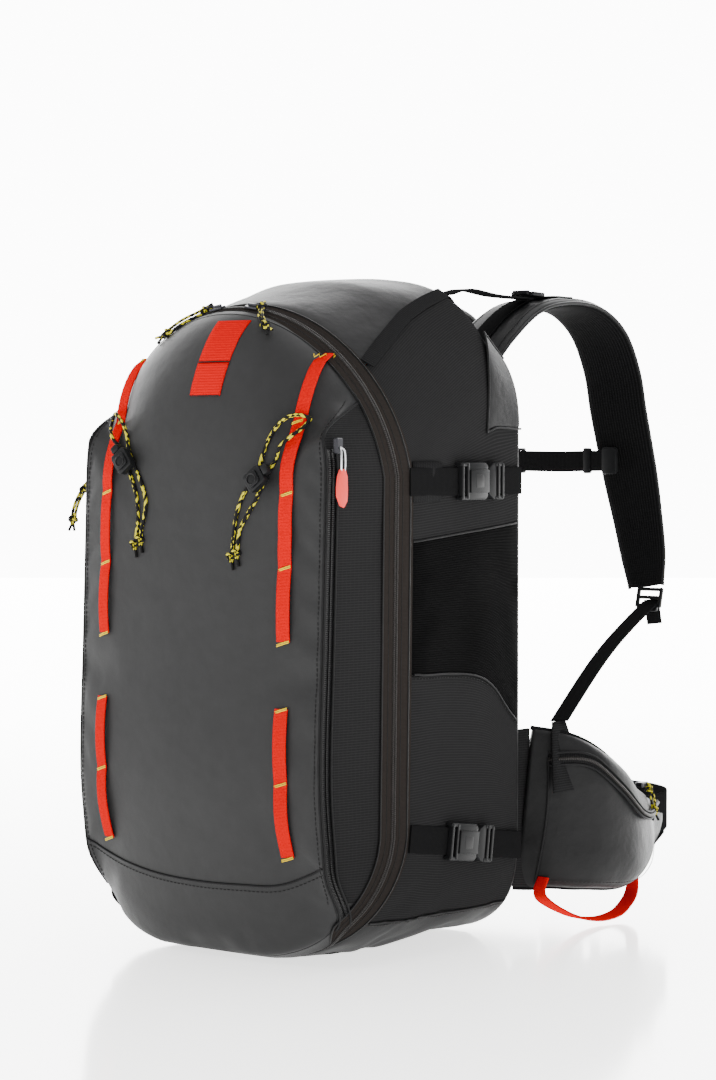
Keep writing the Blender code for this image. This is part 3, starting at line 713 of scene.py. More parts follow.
def webbing_finish(name, colour, pitch, low=0.55, high=1.25, roughness=0.70):
    """Woven tape: ribs across it and a fine twill along it."""
    made = Finish(name, colour, roughness, gloss=0.0)
    u, v = made.metres()
    across = made.ribs(v, pitch)
    slant = made.ribs(made.math("ADD", u, made.math("MULTIPLY", v, 0.6)), pitch * 1.1)
    weave = made.math("MULTIPLY", across, made.math("ADD", made.math("MULTIPLY", slant, 0.5), 0.5))
    made.bump(weave, 0.0004, 0.8)
    # Ribs are painted lighter and grooves darker: painted highlight and shade on the weave's relief.
    made.tint(weave, low, high)
    return made


def mesh_finish(name, colour, pitch):
    """Open knitted mesh: holes in staggered rows, with painted shade in the holes and a painted highlight on
    the knit.
    """
    made = Finish(name, colour, 0.85, gloss=0.02)
    u, v = made.metres()
    rows = made.ribs(u, pitch)
    columns = made.ribs(v, pitch * 0.8)
    knit = made.math("MULTIPLY", rows, made.math("ADD", made.math("MULTIPLY", columns, 0.5), 0.5))
    made.bump(knit, 0.0005, 0.8)
    # Holes painted dark and the knit painted light: painted shade and highlight.
    made.tint(knit, 0.25, 1.4)
    return made


def cord_finish(name, dark, fleck):
    """Braided cord with bright flecks."""
    made = Finish(name, dark, 0.70, gloss=0.10)
    u, v = made.metres()
    slant = made.math("ADD", made.math("DIVIDE", u, 0.0024), made.math("DIVIDE", v, 0.0048))
    other = made.math("SUBTRACT", made.math("DIVIDE", v, 0.0040), made.math("DIVIDE", u, 0.0030))
    cell = made.nodes.new("ShaderNodeCombineXYZ")
    made.put(made.math("FLOOR", slant), cell.inputs[0])
    made.put(made.math("FLOOR", other), cell.inputs[1])
    chance = made.nodes.new("ShaderNodeTexWhiteNoise")
    made.put(cell.outputs[0], chance.inputs["Vector"])
    bright = made.math("GREATER_THAN", chance.outputs["Value"], 0.66)
    made.set("Base Color", made.mix(bright, dark, fleck))
    braid = made.math("MULTIPLY", made.ribs(slant, 1.0), made.ribs(other, 1.0))
    made.bump(braid, 0.0004, 0.7)
    return made


def coil_finish(name, colour, pitch, roughness=0.5):
    made = Finish(name, colour, roughness, gloss=0.20)
    _, v = made.metres()
    turns = made.ribs(v, pitch)
    made.bump(turns, 0.0006, 1.0)
    # The coil's turns are painted lighter and the gaps between them darker: painted highlight and shade.
    made.tint(turns, 0.35, 1.5)
    return made


def plastic_finish(name, colour, roughness):
    made = Finish(name, colour, roughness, gloss=0.09)
    made.bump(made.noise(0.0006, 2.0), 0.00006, 0.5)
    return made


def make_materials():
    coated_finish("coated", (0.0150, 0.0150, 0.0154), 0.50, gloss=0.14)
    # A darker, less glossy copy of the coated cloth for the top panel and the burst flaps: painted shade on
    # the top of the bag.
    coated_finish("coated_top_shaded", (0.0110, 0.0110, 0.0114), 0.50, 0.0024, 0.06)
    # A darker copy of the coated cloth: painted shade where it covers the bottom tub, and the plain dark
    # colour of the seams, welts, edges and back cloth.
    coated_finish("coated_dark", (0.0095, 0.0095, 0.0098), 0.56, gloss=0.06)
    coated_finish("wing_cloth", (0.0095, 0.0095, 0.0098), 0.46, 0.0026, 0.09)
    coated_finish("strap_cloth", (0.0060, 0.0060, 0.0063), 0.62, 0.0006)
    coated_finish("lining", (0.050, 0.050, 0.052), 0.65)
    ripstop_finish("ripstop", (0.0128, 0.0127, 0.0130), 0.0022)
    mesh_finish("stretch_mesh", (0.0026, 0.0026, 0.0027), 0.0021)
    mesh_finish("spacer_mesh", (0.0055, 0.0055, 0.0057), 0.0030)
    webbing_finish("zip_tape", (0.0185, 0.0158, 0.0145), 0.0011, 0.80, 1.1)
    webbing_finish("webbing", (0.0085, 0.0085, 0.0088), 0.0016)
    webbing_finish("webbing_grey", (0.0140, 0.0140, 0.0144), 0.0022)
    webbing_finish("red_webbing", (0.50, 0.0010, 0.0018), 0.0012, 0.75, 1.1)
    webbing_finish("red_label", (0.46, 0.0016, 0.0030), 0.0024, 0.78, 1.1, 0.6)
    webbing_finish("airbag_cloth", (0.60, 0.06, 0.01), 0.0012, 0.85, 1.05)
    cord_finish("cord", (0.0045, 0.0045, 0.0045), (0.46, 0.40, 0.020))
    cord_finish("plain_cord", (0.006, 0.006, 0.006), (0.009, 0.009, 0.009))
    coil_finish("coil", (0.0140, 0.0122, 0.0114), 0.0017)
    coil_finish("glossy_zip", (0.0030, 0.0030, 0.0033), 0.0016, 0.22)
    plastic_finish("buckle", (0.0062, 0.0064, 0.0068), 0.38)
    plastic_finish("frame_plastic", (0.05, 0.05, 0.05), 0.5)
    plastic_finish("red_plastic", (0.55, 0.010, 0.008), 0.4)
    plastic_finish("salmon_plain", (0.62, 0.040, 0.032), 0.45)
    Finish("thread", (0.0050, 0.0050, 0.0050), 0.7)
    Finish("grey_thread", (0.030, 0.029, 0.028), 0.7)
    Finish("yellow_thread", (0.52, 0.36, 0.012), 0.6, gloss=0.05)
    Finish("piping", (0.0045, 0.0045, 0.0048), 0.45)
    Finish("steel", (0.62, 0.62, 0.64), 0.28, 1.0, 0.5)
    Finish("dark_steel", (0.03, 0.03, 0.034), 0.35, 0.8)
    Finish("aluminium", (0.70, 0.71, 0.72), 0.35, 1.0, 0.5)
    Finish("black_foam", (0.006, 0.006, 0.006), 0.9)
    floor = Finish("floor", (0.80, 0.80, 0.79), 0.13, gloss=0.5)
    where = floor.nodes.new("ShaderNodeTexCoord")
    reach = floor.nodes.new("ShaderNodeVectorMath")
    reach.operation = "LENGTH"
    floor.put(where.outputs["Object"], reach.inputs[0])
    # The floor glows, least under the pack and fully from about 2.2 m out: painted light that fades the floor
    # into the white backdrop.
    far = floor.math("MINIMUM", floor.math("MULTIPLY", reach.outputs["Value"], 0.45), 1.0)
    floor.set("Emission Color", (1.0, 1.0, 0.99, 1.0))
    floor.set("Emission Strength", floor.math("ADD", floor.math("MULTIPLY", far, 3.4), 1.7))
    backdrop = Finish("backdrop", (0.0, 0.0, 0.0), 1.0)
    backdrop.set("Emission Color", (1.0, 1.0, 1.0, 1.0))
    backdrop.set("Emission Strength", 12.0)


# ---------------------------------------------------------------- view, floor and light

def area_light(name, place_at, aim, size, power):
    data = bpy.data.lights.new(name, "AREA")
    data.shape = "RECTANGLE"
    data.size, data.size_y = size
    data.energy = power
    light = bpy.data.objects.new(name, data)
    bpy.context.scene.collection.objects.link(light)
    light.location = place_at
    light.rotation_euler = (Vector(aim) - Vector(place_at)).to_track_quat("-Z", "Y").to_euler()
    return light


def make_view():
    data = bpy.data.cameras.new("view")
    data.lens = VIEW_LENS
    data.sensor_width = 36.0
    data.clip_end = 50.0
    camera = bpy.data.objects.new("view", data)
    bpy.context.scene.collection.objects.link(camera)
    away = Vector((
        math.sin(VIEW_TURN) * math.cos(VIEW_RISE),
        -math.cos(VIEW_TURN) * math.cos(VIEW_RISE),
        math.sin(VIEW_RISE),
    ))
    camera.location = Vector(VIEW_TARGET) + away * VIEW_DISTANCE
    camera.rotation_euler = (math.radians(90) - VIEW_RISE, 0.0, VIEW_TURN)
    bpy.context.scene.camera = camera


def make_stage():
    corners = [(x * FLOOR_REACH, y * FLOOR_REACH, -0.0006) for x, y in ((-1, -1), (1, -1), (1, 1), (-1, 1))]
    floor = place("floor", mesh_of("floor", corners, [(0, 1, 2, 3)]), "floor", None)
    centre = Vector((-math.sin(VIEW_TURN), math.cos(VIEW_TURN), 0.0)) * BACKDROP_DISTANCE
    sideways = Vector((math.cos(VIEW_TURN), math.sin(VIEW_TURN), 0.0)) * BACKDROP_REACH
    wall = [centre + sideways * s + Vector((0, 0, z)) for s, z in ((-1, -0.1), (1, -0.1), (1, 7), (-1, 7))]
    backdrop = place("backdrop", mesh_of("backdrop", wall, [(0, 1, 2, 3)]), "backdrop", None)
    world = bpy.data.worlds.new("studio")
    world.use_nodes = True
    sky = world.node_tree.nodes["Background"]
    sky.inputs["Color"].default_value = (1.0, 1.0, 1.0, 1.0)
    sky.inputs["Strength"].default_value = 0.9
    bpy.context.scene.world = world
    aim = (0.0, 0.0, 0.35)
    lights = [
        area_light("key", (-1.3, -1.7, 2.0), aim, (1.6, 1.2), 22.0),
        area_light("overhead", (0.2, 0.4, 2.2), (0.0, 0.1, 0.5), (1.6, 1.0), 34.0),
        area_light("side", (2.4, 0.6, 1.0), aim, (1.0, 1.6), 9.0),
    ]


# ---------------------------------------------------------------- lid surface

TOP_COLUMNS = 18
ARCH_COLUMNS, SIDE_COLUMNS, LOW_COLUMNS = 14, 28, 18
LID_HALF = (
    steps("arch", 0.0, 0.5, TOP_COLUMNS + 1)
    + steps("arch", 0.5, 1.0, ARCH_COLUMNS + 1)[1:]
    + steps("side", 0.0, 1.0, SIDE_COLUMNS + 1)[1:]
    + steps("corner", 0.0, 0.5, LOW_COLUMNS + 1)[1:]
    + steps("corner", 0.5, 1.0, TOP_COLUMNS + 1)[1:]
)
LID_RING = ring_of(LID_HALF)
ZIP_FADE = (0.34, 0.62)
PANEL_ACROSS, PANEL_UP = 2 * TOP_COLUMNS, ARCH_COLUMNS + SIDE_COLUMNS + LOW_COLUMNS


def lid_at(edge, scale):
    """A point of the front panel on the line from its middle to a point of its edge."""
    x, z = edge.x * scale, between(FRONT_MIDDLE_Z, edge.z, scale)
    return Vector((x, domed(edge.y, x, z, scale), z))


def lid_spoke(side, zone, t):
    """Points over the lid from its rim, across the gusset and the fold, on to the front panel."""
    x, z = section_point(0.0, zone, t)
    rim = Vector((side * x, rim_y(zone, t) - 0.0003, z))
    edge = fold_point(zone, t)
    edge.x *= side
    points = [rim.lerp(edge, i / 6) for i in range(7)]
    scale = 1.0
    while scale > 0.70:
        scale -= 0.0015 if scale > 0.985 else 0.006
        points.append(lid_at(edge, scale))
    return points, edge


def along_spoke(points, distance):
    gone = 0.0
    for a, b in zip(points, points[1:]):
        length = (b - a).length
        if gone + length >= distance:
            return a.lerp(b, (distance - gone) / max(length, 1e-9))
        gone += length
    return points[-1]


def zip_width(zone, t):
    """The zip's width as a share of its full width; it narrows to nothing where it dives under the base."""
    return 1 - eased(t, *ZIP_FADE) if zone == "corner" else 1.0


def gusset_depth(side, zone, t):
    """How far over the lid the fold lies from the rim, and at least the zip's own width."""
    points, _ = lid_spoke(side, zone, t)
    return max(path_length(points[:7]), COIL_AHEAD * zip_width(zone, t) + 0.0006)


def panel_edge(side, zone, t):
    """Edge point of the spoke and the scale along it at which the front panel starts."""
    points, edge = lid_spoke(side, zone, t)
    depth = gusset_depth(side, zone, t)
    start = along_spoke(points, depth)
    reach = Vector((edge.x, 0, edge.z - FRONT_MIDDLE_Z)).length
    here = Vector((start.x, 0, start.z - FRONT_MIDDLE_Z)).length
    return edge, min(here / max(reach, 1e-9), 1.0)


def lid_stretch(arch_from, corner_to):
    """The lid's right-hand outline from a place on the arch, down the side, to a place in the corner."""
    return [
        (zone, t) for zone, t in LID_HALF
        if zone == "side" or (zone == "arch" and t > arch_from) or (zone == "corner" and t < corner_to)
    ]


def border_index(u, v):
    """Place on the lid's ring of a point of the unit square's edge, clockwise from the top middle."""
    if v >= 1.0 and u >= 0:
        return u * TOP_COLUMNS
    if u >= 1.0:
        return TOP_COLUMNS + (1 - v) / 2 * PANEL_UP
    if v <= -1.0:
        return TOP_COLUMNS + PANEL_UP + (1 - u) / 2 * PANEL_ACROSS
    if u <= -1.0:
        return TOP_COLUMNS + PANEL_UP + PANEL_ACROSS + (v + 1) / 2 * PANEL_UP
    return len(LID_RING) + u * TOP_COLUMNS


def panel_rows():
    """The front panel as a grid, whose outer edge is the ring of the fold."""
    edges = [panel_edge(*place_on) for place_on in LID_RING]
    count = len(edges)
    rows = []
    for v in [1 - 2 * j / PANEL_UP for j in range(PANEL_UP + 1)]:
        row = []
        for u in [2 * i / PANEL_ACROSS - 1 for i in range(PANEL_ACROSS + 1)]:
            reach = max(abs(u), abs(v))
            if reach == 0:
                row.append(lid_at(edges[0][0], 0.0))
                continue
            index = border_index(round(u / reach, 9), round(v / reach, 9))
            low = int(math.floor(index + 1e-6))
            scale = 1 - (1 - reach) ** 1.35
            first, second = edges[low % count], edges[(low + 1) % count]
            point = lid_at(first[0], scale * first[1])
            row.append(point.lerp(lid_at(second[0], scale * second[1]), max(index - low, 0.0)))
        rows.append(row)
    return rows


class Surface:
    """A finished piece of cloth that other pieces are laid on."""

    def __init__(self, thing):
        seen = thing.evaluated_get(bpy.context.evaluated_depsgraph_get())
        self.tree = tree_of(seen.to_mesh())
        seen.to_mesh_clear()

    def at(self, x, z, lift=0.0):
        """The point of the front panel at a place seen from straight ahead."""
        hit, normal, _, _ = self.tree.ray_cast(Vector((x, -0.5, z)), Vector((0, 1, 0)))
        if hit is None:
            hit, normal, _, _ = self.tree.find_nearest(Vector((x, front_y(x, z), z)))
        if normal.y > 0:
            normal = -normal
        return hit + normal * lift


def rumpled(point, amount, size, seed):
    """A small push in and out that makes cloth uneven."""
    where = Vector((point.x / size + seed, point.y / size - seed, point.z / (size * 1.3)))
    return noise.noise(where) * amount


def make_front_panel():
    across, down = PANEL_ACROSS + 1, PANEL_UP + 1
    thing = grid_piece(
        "front_panel", panel_rows(), (0.0, 0.1, 0.29),
        ("coated", "lining"), "lid", ("front_shell",), "coated_fabric",
    )
    held = {}
    for j in range(down):
        for i in range(across):
            edge = min(i, across - 1 - i, j, down - 1 - j)
            held[j * across + i] = 1.0 if edge == 0 else 0.0
    drape(thing, held, pressure=2.2, slack=0.010, cap=0.0030, bending=1.2)
    thicken(thing, 0.0011, lined=True)
    refine(thing)
    return thing


def make_gusset():
    """Cloth from the zip round to the fold, on the lid."""
    rows = []
    for share in (0.0, 0.18, 0.36, 0.54, 0.72, 0.86, 1.0):
        ring = []
        for side, zone, t in LID_RING:
            points, _ = lid_spoke(side, zone, t)
            depth = gusset_depth(side, zone, t)
            point = along_spoke(points, between(COIL_AHEAD * zip_width(zone, t) + 0.0004, depth, share))
            if zone != "arch" or t > 0.7:
                swell = math.sin(math.pi * share)
                point.x += side * (rumpled(point, 0.0022, 0.035, 3.0) - 0.0006) * swell
            ring.append(point)
        rows.append(ring)
    thing = grid_piece(
        "gusset", rows, (0.0, -0.06, 0.29),
        ("ripstop", "lining", "coated"), "lid", (), "ripstop", closed=True,
    )
    for face in thing.data.polygons:
        _, zone, t = LID_RING[face.index % len(LID_RING)]
        if zone == "corner" and t > 0.22:
            face.material_index = 2
    thicken(thing, 0.0010, lined=True)
    refine(thing)
    return thing


def zip_ring(from_rim, lift):
    """A line along the main zip at a distance from the rim, and its outward directions."""
    half = [one for one in LID_HALF if one[0] != "corner" or one[1] <= ZIP_FADE[1]]
    places = [(-1, zone, t) for zone, t in reversed(half[1:])] + [(1, zone, t) for zone, t in half]
    path, outward = [], []
    for side, zone, t in places:
        distance = from_rim * zip_width(zone, t)
        points, _ = lid_spoke(side, zone, t)
        point = along_spoke(points, max(distance, 0.0))
        ahead = along_spoke(points, max(distance, 0.0) + 0.002)
        near = lid_spoke(side, zone, t + 0.01 if t < 0.985 else t - 0.01)[0]
        along = along_spoke(near, max(distance, 0.0)) - point
        normal = (ahead - point).cross(along).normalized()
        if (point - Vector((0.0, 0.0, 0.29))).dot(normal) < 0:
            normal = -normal
        if distance < 0:
            point = point + Vector((0, -distance, 0))
        path.append(point + normal * (lift - 0.0022 * (1 - zip_width(zone, t))))
        outward.append(normal)
    return path, outward


def tape_band(name, low, high, lift, body):
    """A band of tape between two distances from the rim, following the lid's curve."""
    lines = [zip_ring(distance, lift)[0] for distance in spaced(low, high, 5)]
    thing = grid_piece(name, [list(row) for row in zip(*lines)], (0.0, 0.0, 0.29), "zip_tape", body)
    thicken(thing, 0.0007)
    refine(thing)


def make_main_zip():
    """Two tapes with half a coil each: one stays on the body, the other goes with the lid."""
    tape_band("zip_tape_body", -0.004, COIL_AHEAD - 0.0003, 0.0011, "pack")
    tape_band("zip_tape_lid", COIL_AHEAD + 0.0003, COIL_AHEAD + LID_TAPE, 0.0013, "lid")
    for name, offset, lift, size, material, body in (
        ("coil_body", -0.0013, 0.0014, 0.0022, "coil", "pack"),
        ("coil_lid", 0.0013, 0.0014, 0.0022, "coil", "lid"),
        ("zip_stitch_body", -0.0075, 0.0012, 0.0006, "thread", "pack"),
        ("zip_stitch_lid", 0.0075, 0.0014, 0.0006, "thread", "lid"),
        ("zip_edge_body", -0.0162, 0.0012, 0.0016, "piping", "pack"),
        ("zip_edge_lid", LID_TAPE, 0.0010, 0.0016, "piping", "lid"),
    ):
        path, outward = zip_ring(COIL_AHEAD + offset, lift)
        place(name, sweep(name, path, round_section(size / 2, 8), outward), material, body)


FRONT_SEAM = [
    (-0.132, 0.090), (-0.10, 0.079), (-0.05, 0.070), (0.0, 0.067),
    (0.05, 0.068), (0.09, 0.071), (0.132, 0.088),
]


def make_fold_seams(panel):
    """Stitching along the fold, and the seams of the lower front."""
    surface = Surface(panel)
    for side, hand in HANDS:
        inner, edge_line = [], []
        for zone, t in lid_stretch(0.66, 0.30):
            edge, start = panel_edge(side, zone, t)
            edge_line.append(lid_at(edge, start) + Vector((-side * 0.0006, 0.0007, 0)))
            at = lid_at(edge, start - 0.030)
            inner.append(surface.at(at.x, at.z, 0.0002))
        tube(f"fold_edge_{hand}", evenly(edge_line, 60), 0.0028, "coated_dark", "lid", 8)
        stitch_row(f"fold_stitch_{hand}", evenly(inner, 60), (0, -1, 0), "thread", "lid")
    line = [(p.x, p.z) for p in smooth_route([(x, 0.0, z) for x, z in FRONT_SEAM], 8)]
    raised = [surface.at(x, z, 0.0003) for x, z in line]
    tube("front_tub_seam", raised, 0.0020, "coated_dark", "lid", 8)
    stitched = [surface.at(x, z - 0.005, 0.0002) for x, z in line]
    stitch_row("front_tub_stitch", stitched, (0, -1, 0), "thread", "lid")
    return surface


# ---------------------------------------------------------------- rear of the bag

# Edges of the mesh panel: depth and height.
MESH_TOP = [(-0.02, 0.353), (0.148, 0.367)]
MESH_LOW = [(-0.02, 0.242), (0.060, 0.238), (0.089, 0.232), (0.109, 0.221), (0.130, 0.201), (0.150, 0.186)]
BODY_COLUMNS = {"top": 14, "flank": 16, "upper": 6, "mesh": 14, "lower": 12, "low_side": 8, "tub": 16}
TUB_SEAM = 0.36
BODY_ROWS = 30


def body_column(side, region, t, share):
    """A point of the rear bag in one of its regions, at a share of the way down the region."""
    if region == "top":
        return bag_point(side, "arch", tape_line(share) * t, share)
    if region == "flank":
        return bag_point(side, "arch", between(tape_line(share), 1.0, t), share)
    if region in ("upper", "mesh", "lower"):
        first = bag_point(side, "side", 0.0, share)
        last = bag_point(side, "side", 1.0, share)
        top, low = profile_at(MESH_TOP, first.y), profile_at(MESH_LOW, first.y)
        levels = {"upper": (first.z, top), "mesh": (top, low), "lower": (low, last.z)}[region]
        z = between(*levels, t)
        down = (first.z - z) / (first.z - last.z)
        return bag_point(side, "side", down, share)
    if region == "low_side":
        return bag_point(side, "corner", TUB_SEAM * t, share)
    return bag_point(side, "corner", between(TUB_SEAM, 1.0, t), share)


def body_ring():
    half = [(region, i / count) for region, count in BODY_COLUMNS.items() for i in range(count)]
    return ring_of(half + [("tub", 1.0)])


def region_of(ring, index):
    """The region that the column of faces after a ring position lies in."""
    side, region, _ = ring[index]
    after, next_region, _ = ring[(index + 1) % len(ring)]
    return (side, region) if side > 0 and after > 0 else (-1, next_region)


def bag_rows(ring):
    """The rear bag's grid of points, from the zip to the back, with its cloth a little uneven."""
    rows = []
    for j in range(BODY_ROWS + 1):
        share = j / BODY_ROWS
        swell = math.sin(math.pi * share) ** 0.6
        row = []
        for side, region, t in ring:
            point = body_column(side, region, t, share)
            lean = Vector((point.x, 0.0, point.z - 0.30)).normalized()
            row.append(point + lean * (rumpled(point, 0.0030, 0.055, 7.0) - 0.0012) * swell)
        rows.append(row)
    return rows


def cut_from(whole, name, ring, regions, side):
    """The faces of the whole bag that lie in some regions, on one side unless side is 0."""
    piece = bmesh.new()
    piece.from_mesh(whole.data)
    gone = []
    for face in piece.faces:
        found = region_of(ring, face.index % len(ring))
        if found[1] not in regions or (side and found[0] != side):
            gone.append(face)
    bmesh.ops.delete(piece, geom=gone, context="FACES")
    part = bpy.data.meshes.new(name)
    piece.to_mesh(part)
    piece.free()
    part.shade_smooth()
    return part


def make_rear_bag():
    """One tube of cloth from the zip to the back, shaped whole and then cut along its seams."""
    ring = body_ring()
    whole = grid_piece("bag", bag_rows(ring), (0.0, 0.06, 0.3), None, None, closed=True)
    held = {
        j * len(ring) + i: 1.0 if j in (0, BODY_ROWS) else 0.0
        for j in range(BODY_ROWS + 1) for i in range(len(ring))
    }
    drape(whole, held, pressure=1.6, slack=0.008, cap=0.0030)
    cuts = [
        # The top cloth takes the darker copy of the coated cloth, which is painted shade.
        ("top_cloth", 0, ("top",), ("top_panel",), "coated_top_shaded", "coated_fabric", (0.235, 0.210)),
        # The tub cloth takes the darker copy of the coated cloth, which is painted shade.
        ("tub_cloth", 0, ("tub",), ("bottom_tub",), "coated_dark", "coated_fabric", (0.300, 0.230)),
    ]
    for side, hand in HANDS:
        node = f"side_panel_{hand}"
        cuts += [
            (f"upper_side_{hand}", side, ("flank", "upper"), (node,), "ripstop", "ripstop", (0.190, 0.215)),
            (f"mesh_side_{hand}", side, ("mesh",), (), "stretch_mesh", "ripstop", (0.165, 0.140)),
            (f"lower_side_{hand}", side, ("lower", "low_side"), (), "ripstop", "ripstop", (0.200, 0.200)),
        ]
    for name, side, regions, replaced, material, slot, flat in cuts:
        mesh = cut_from(whole, name, ring, regions, side)
        thing = place(name, mesh, (material, "lining"), "pack", replaced, slot)
        thicken(thing, 0.0011, lined=True)
        refine(thing)
    tree = tree_of(whole.data)
    bpy.data.objects.remove(whole)
    return tree


def on_bag(tree, point, lift):
    hit, normal, _, _ = tree.find_nearest(Vector(point))
    if (hit - Vector((0.0, 0.06, 0.3))).dot(normal) < 0:
        normal = -normal
    return hit + normal * lift


def inner_tape(name, tree, line):
    """Tape that covers a seam on the inside of the bag."""
    inner = [on_bag(tree, p, -0.0020) for p in line]
    across = []
    for i, p in enumerate(line):
        outward = on_bag(tree, p, 1.0) - on_bag(tree, p, 0.0)
        across.append(outward.cross(inner[min(i + 1, len(inner) - 1)] - inner[max(i - 1, 0)]))
    place(name, sweep(name, inner, band_section(0.012, 0.0010), across), "lining", "pack")


def make_bag_seams(tree):
    shares = [0.02 + 0.96 * i / 40 for i in range(41)]
    for side, hand in HANDS:
        tape = [on_bag(tree, bag_point(side, "arch", tape_line(s), s), 0.0012) for s in shares]
        across = [Vector((side * 0.75, 0.35, -0.6))] * len(tape)
        mesh = sweep(f"diagonal_tape_{hand}", tape, band_section(0.013, 0.0012), across)
        place(f"diagonal_tape_{hand}", mesh, "webbing_grey", "pack")
        face = side * HALF_WIDTH
        lines = {
            "mesh_top": [Vector((face, y, profile_at(MESH_TOP, y))) for y in spaced(-0.012, 0.145, 30)],
            "mesh_low": [Vector((face, y, profile_at(MESH_LOW, y))) for y in spaced(-0.012, 0.145, 30)],
            "tub": [bag_point(side, "corner", TUB_SEAM, s) for s in shares],
        }
        for name, line in lines.items():
            laid = [on_bag(tree, p, 0.0004) for p in line]
            tube(f"{name}_seam_{hand}", laid, 0.0020, "coated_dark", "pack", 8)
            inner_tape(f"{name}_inner_{hand}", tree, line)
        stitched = [on_bag(tree, p + Vector((0, 0, -0.004)), 0.0002) for p in lines["tub"]]
        stitch_row(f"tub_stitch_{hand}", stitched, (side, 0, 0), "grey_thread", "pack")
        hem = [on_bag(tree, p + Vector((0, 0, -0.003)), 0.0002) for p in lines["mesh_low"]]
        stitch_row(f"mesh_stitch_{hand}", hem, (side, 0, 0), "thread", "pack")


# ---------------------------------------------------------------- front of the lid

# Across, height, and how far in front of the panel each point of a cord lies.
CORD_ROUTES = {
    "right": [
        (0.0470, 0.3400, 0.0040), (0.0480, 0.3510, 0.0040), (0.0488, 0.3620, 0.0040),
        (0.0500, 0.3720, 0.0040), (0.0530, 0.3840, 0.0040), (0.0585, 0.3960, 0.0040),
        (0.0660, 0.4070, 0.0040), (0.0715, 0.4180, 0.0040), (0.0745, 0.4290, 0.0040),
        (0.0790, 0.4410, 0.0040), (0.0860, 0.4510, 0.0060), (0.0950, 0.4575, 0.0095),
        (0.1040, 0.4595, 0.0095), (0.1105, 0.4565, 0.0060), (0.1085, 0.4495, 0.0090),
        (0.1010, 0.4420, 0.0110), (0.0925, 0.4330, 0.0105), (0.0855, 0.4230, 0.0040),
        (0.0800, 0.4120, 0.0040), (0.0745, 0.4000, 0.0040), (0.0680, 0.3870, 0.0040),
        (0.0605, 0.3750, 0.0040), (0.0550, 0.3650, 0.0040), (0.0535, 0.3550, 0.0040),
        (0.0525, 0.3430, 0.0040),
    ],
    "left": [
        (-0.0630, 0.3480, 0.0040), (-0.0615, 0.3580, 0.0040), (-0.0605, 0.3680, 0.0040),
        (-0.0610, 0.3800, 0.0040), (-0.0645, 0.3940, 0.0040), (-0.0715, 0.4070, 0.0040),
        (-0.0800, 0.4190, 0.0040), (-0.0880, 0.4300, 0.0040), (-0.0960, 0.4405, 0.0115),
        (-0.1035, 0.4490, 0.0115), (-0.1100, 0.4565, 0.0080), (-0.1020, 0.4620, 0.0105),
        (-0.0940, 0.4605, 0.0112), (-0.0880, 0.4540, 0.0075), (-0.0835, 0.4450, 0.0040),
        (-0.0785, 0.4330, 0.0040), (-0.0710, 0.4210, 0.0040), (-0.0620, 0.4090, 0.0040),
        (-0.0545, 0.3970, 0.0040), (-0.0510, 0.3850, 0.0040), (-0.0525, 0.3740, 0.0040),
        (-0.0555, 0.3640, 0.0040), (-0.0560, 0.3520, 0.0040),
    ],
}
CORD_TURN = {"right": 13, "left": 10}
SIDE_PULL = [
    (-0.1450, -0.095, 0.402), (-0.1500, -0.100, 0.391), (-0.1515, -0.105, 0.380), (-0.1505, -0.109, 0.368),
]
HIP_PULL = [
    (0.1705, 0.324, 0.1190), (0.1735, 0.328, 0.112), (0.1745, 0.331, 0.103), (0.1745, 0.334, 0.092),
]


def front_y(x, z):
    """The front panel's surface, with its upper end domed back to the zip."""
    low, high = 0.5, 40.0
    for _ in range(40):
        reach = (low + high) / 2
        rise = (FRONT_MIDDLE_Z + (z - FRONT_MIDDLE_Z) * reach - ARCH_CENTRE_Z) / math.cos(ARCH_TILT)
        inside = abs(x * reach) < FOLD_X if rise < 0 else math.hypot(x * reach, rise) < ARCH_RADIUS
        low, high = (reach, high) if inside else (low, reach)
    rise = (FRONT_MIDDLE_Z + (z - FRONT_MIDDLE_Z) * low - ARCH_CENTRE_Z) / math.cos(ARCH_TILT)
    if rise < 0 or z < FRONT_MIDDLE_Z:
        return plain_front_y(x, z)
    t = math.acos(min(rise / ARCH_RADIUS, 1.0)) / (math.pi / 2)
    return domed(fold_point("arch", t).y, x, z, min(1 / low, 1.0))


def knot(name, centre, axis, size, diameter, material, body):
    """A trefoil knot in a cord, tightened to a size."""
    axis = Vector(axis).normalized()
    side = axis.orthogonal().normalized()
    third = axis.cross(side)
    path = []
    for i in range(37):
        a = math.tau * i / 36
        u = (math.sin(a) + 2 * math.sin(2 * a)) / 3
        v = (math.cos(a) - 2 * math.cos(2 * a)) / 3
        w = -math.sin(3 * a) * 0.45
        path.append(Vector(centre) + side * (u * size) + third * (w * size) + axis * (v * size))
    mesh = sweep(name, path, round_section(diameter / 2, 6), capped=False)
    return place(name, mesh, material, body)


def make_accessory_cords():
    for hand, route in CORD_ROUTES.items():
        lock = make_cord_lock(hand)
        turn = CORD_TURN[hand]
        points = [Vector((x, front_y(x, z) - lift, z)) for x, z, lift in route]
        node = f"accessory_cord_{hand}"
        for strand, part in (("a", points[turn::-1]), ("b", points[turn:])):
            name = f"{node}_{strand}"
            path = smooth_route(part, 5)
            thing = tube(name, path, CORD_DIAMETER, "cord", "lid", 10, replaced=(node,), slot="cord")
            end = path[-1]
            knot_at = end + Vector((0, -0.0008, 0.002))
            tied = knot(f"{name}_knot", knot_at, (0.1, 0.0, 1.0), 0.0034, 0.0026, "cord", "lid")
            tail_path = [end + Vector((0.0006 * i, -0.0002 * i, -0.0022 * i)) for i in range(5)]
            tail = tube(f"{name}_tail", tail_path, 0.0026, "cord", "lid", 8)


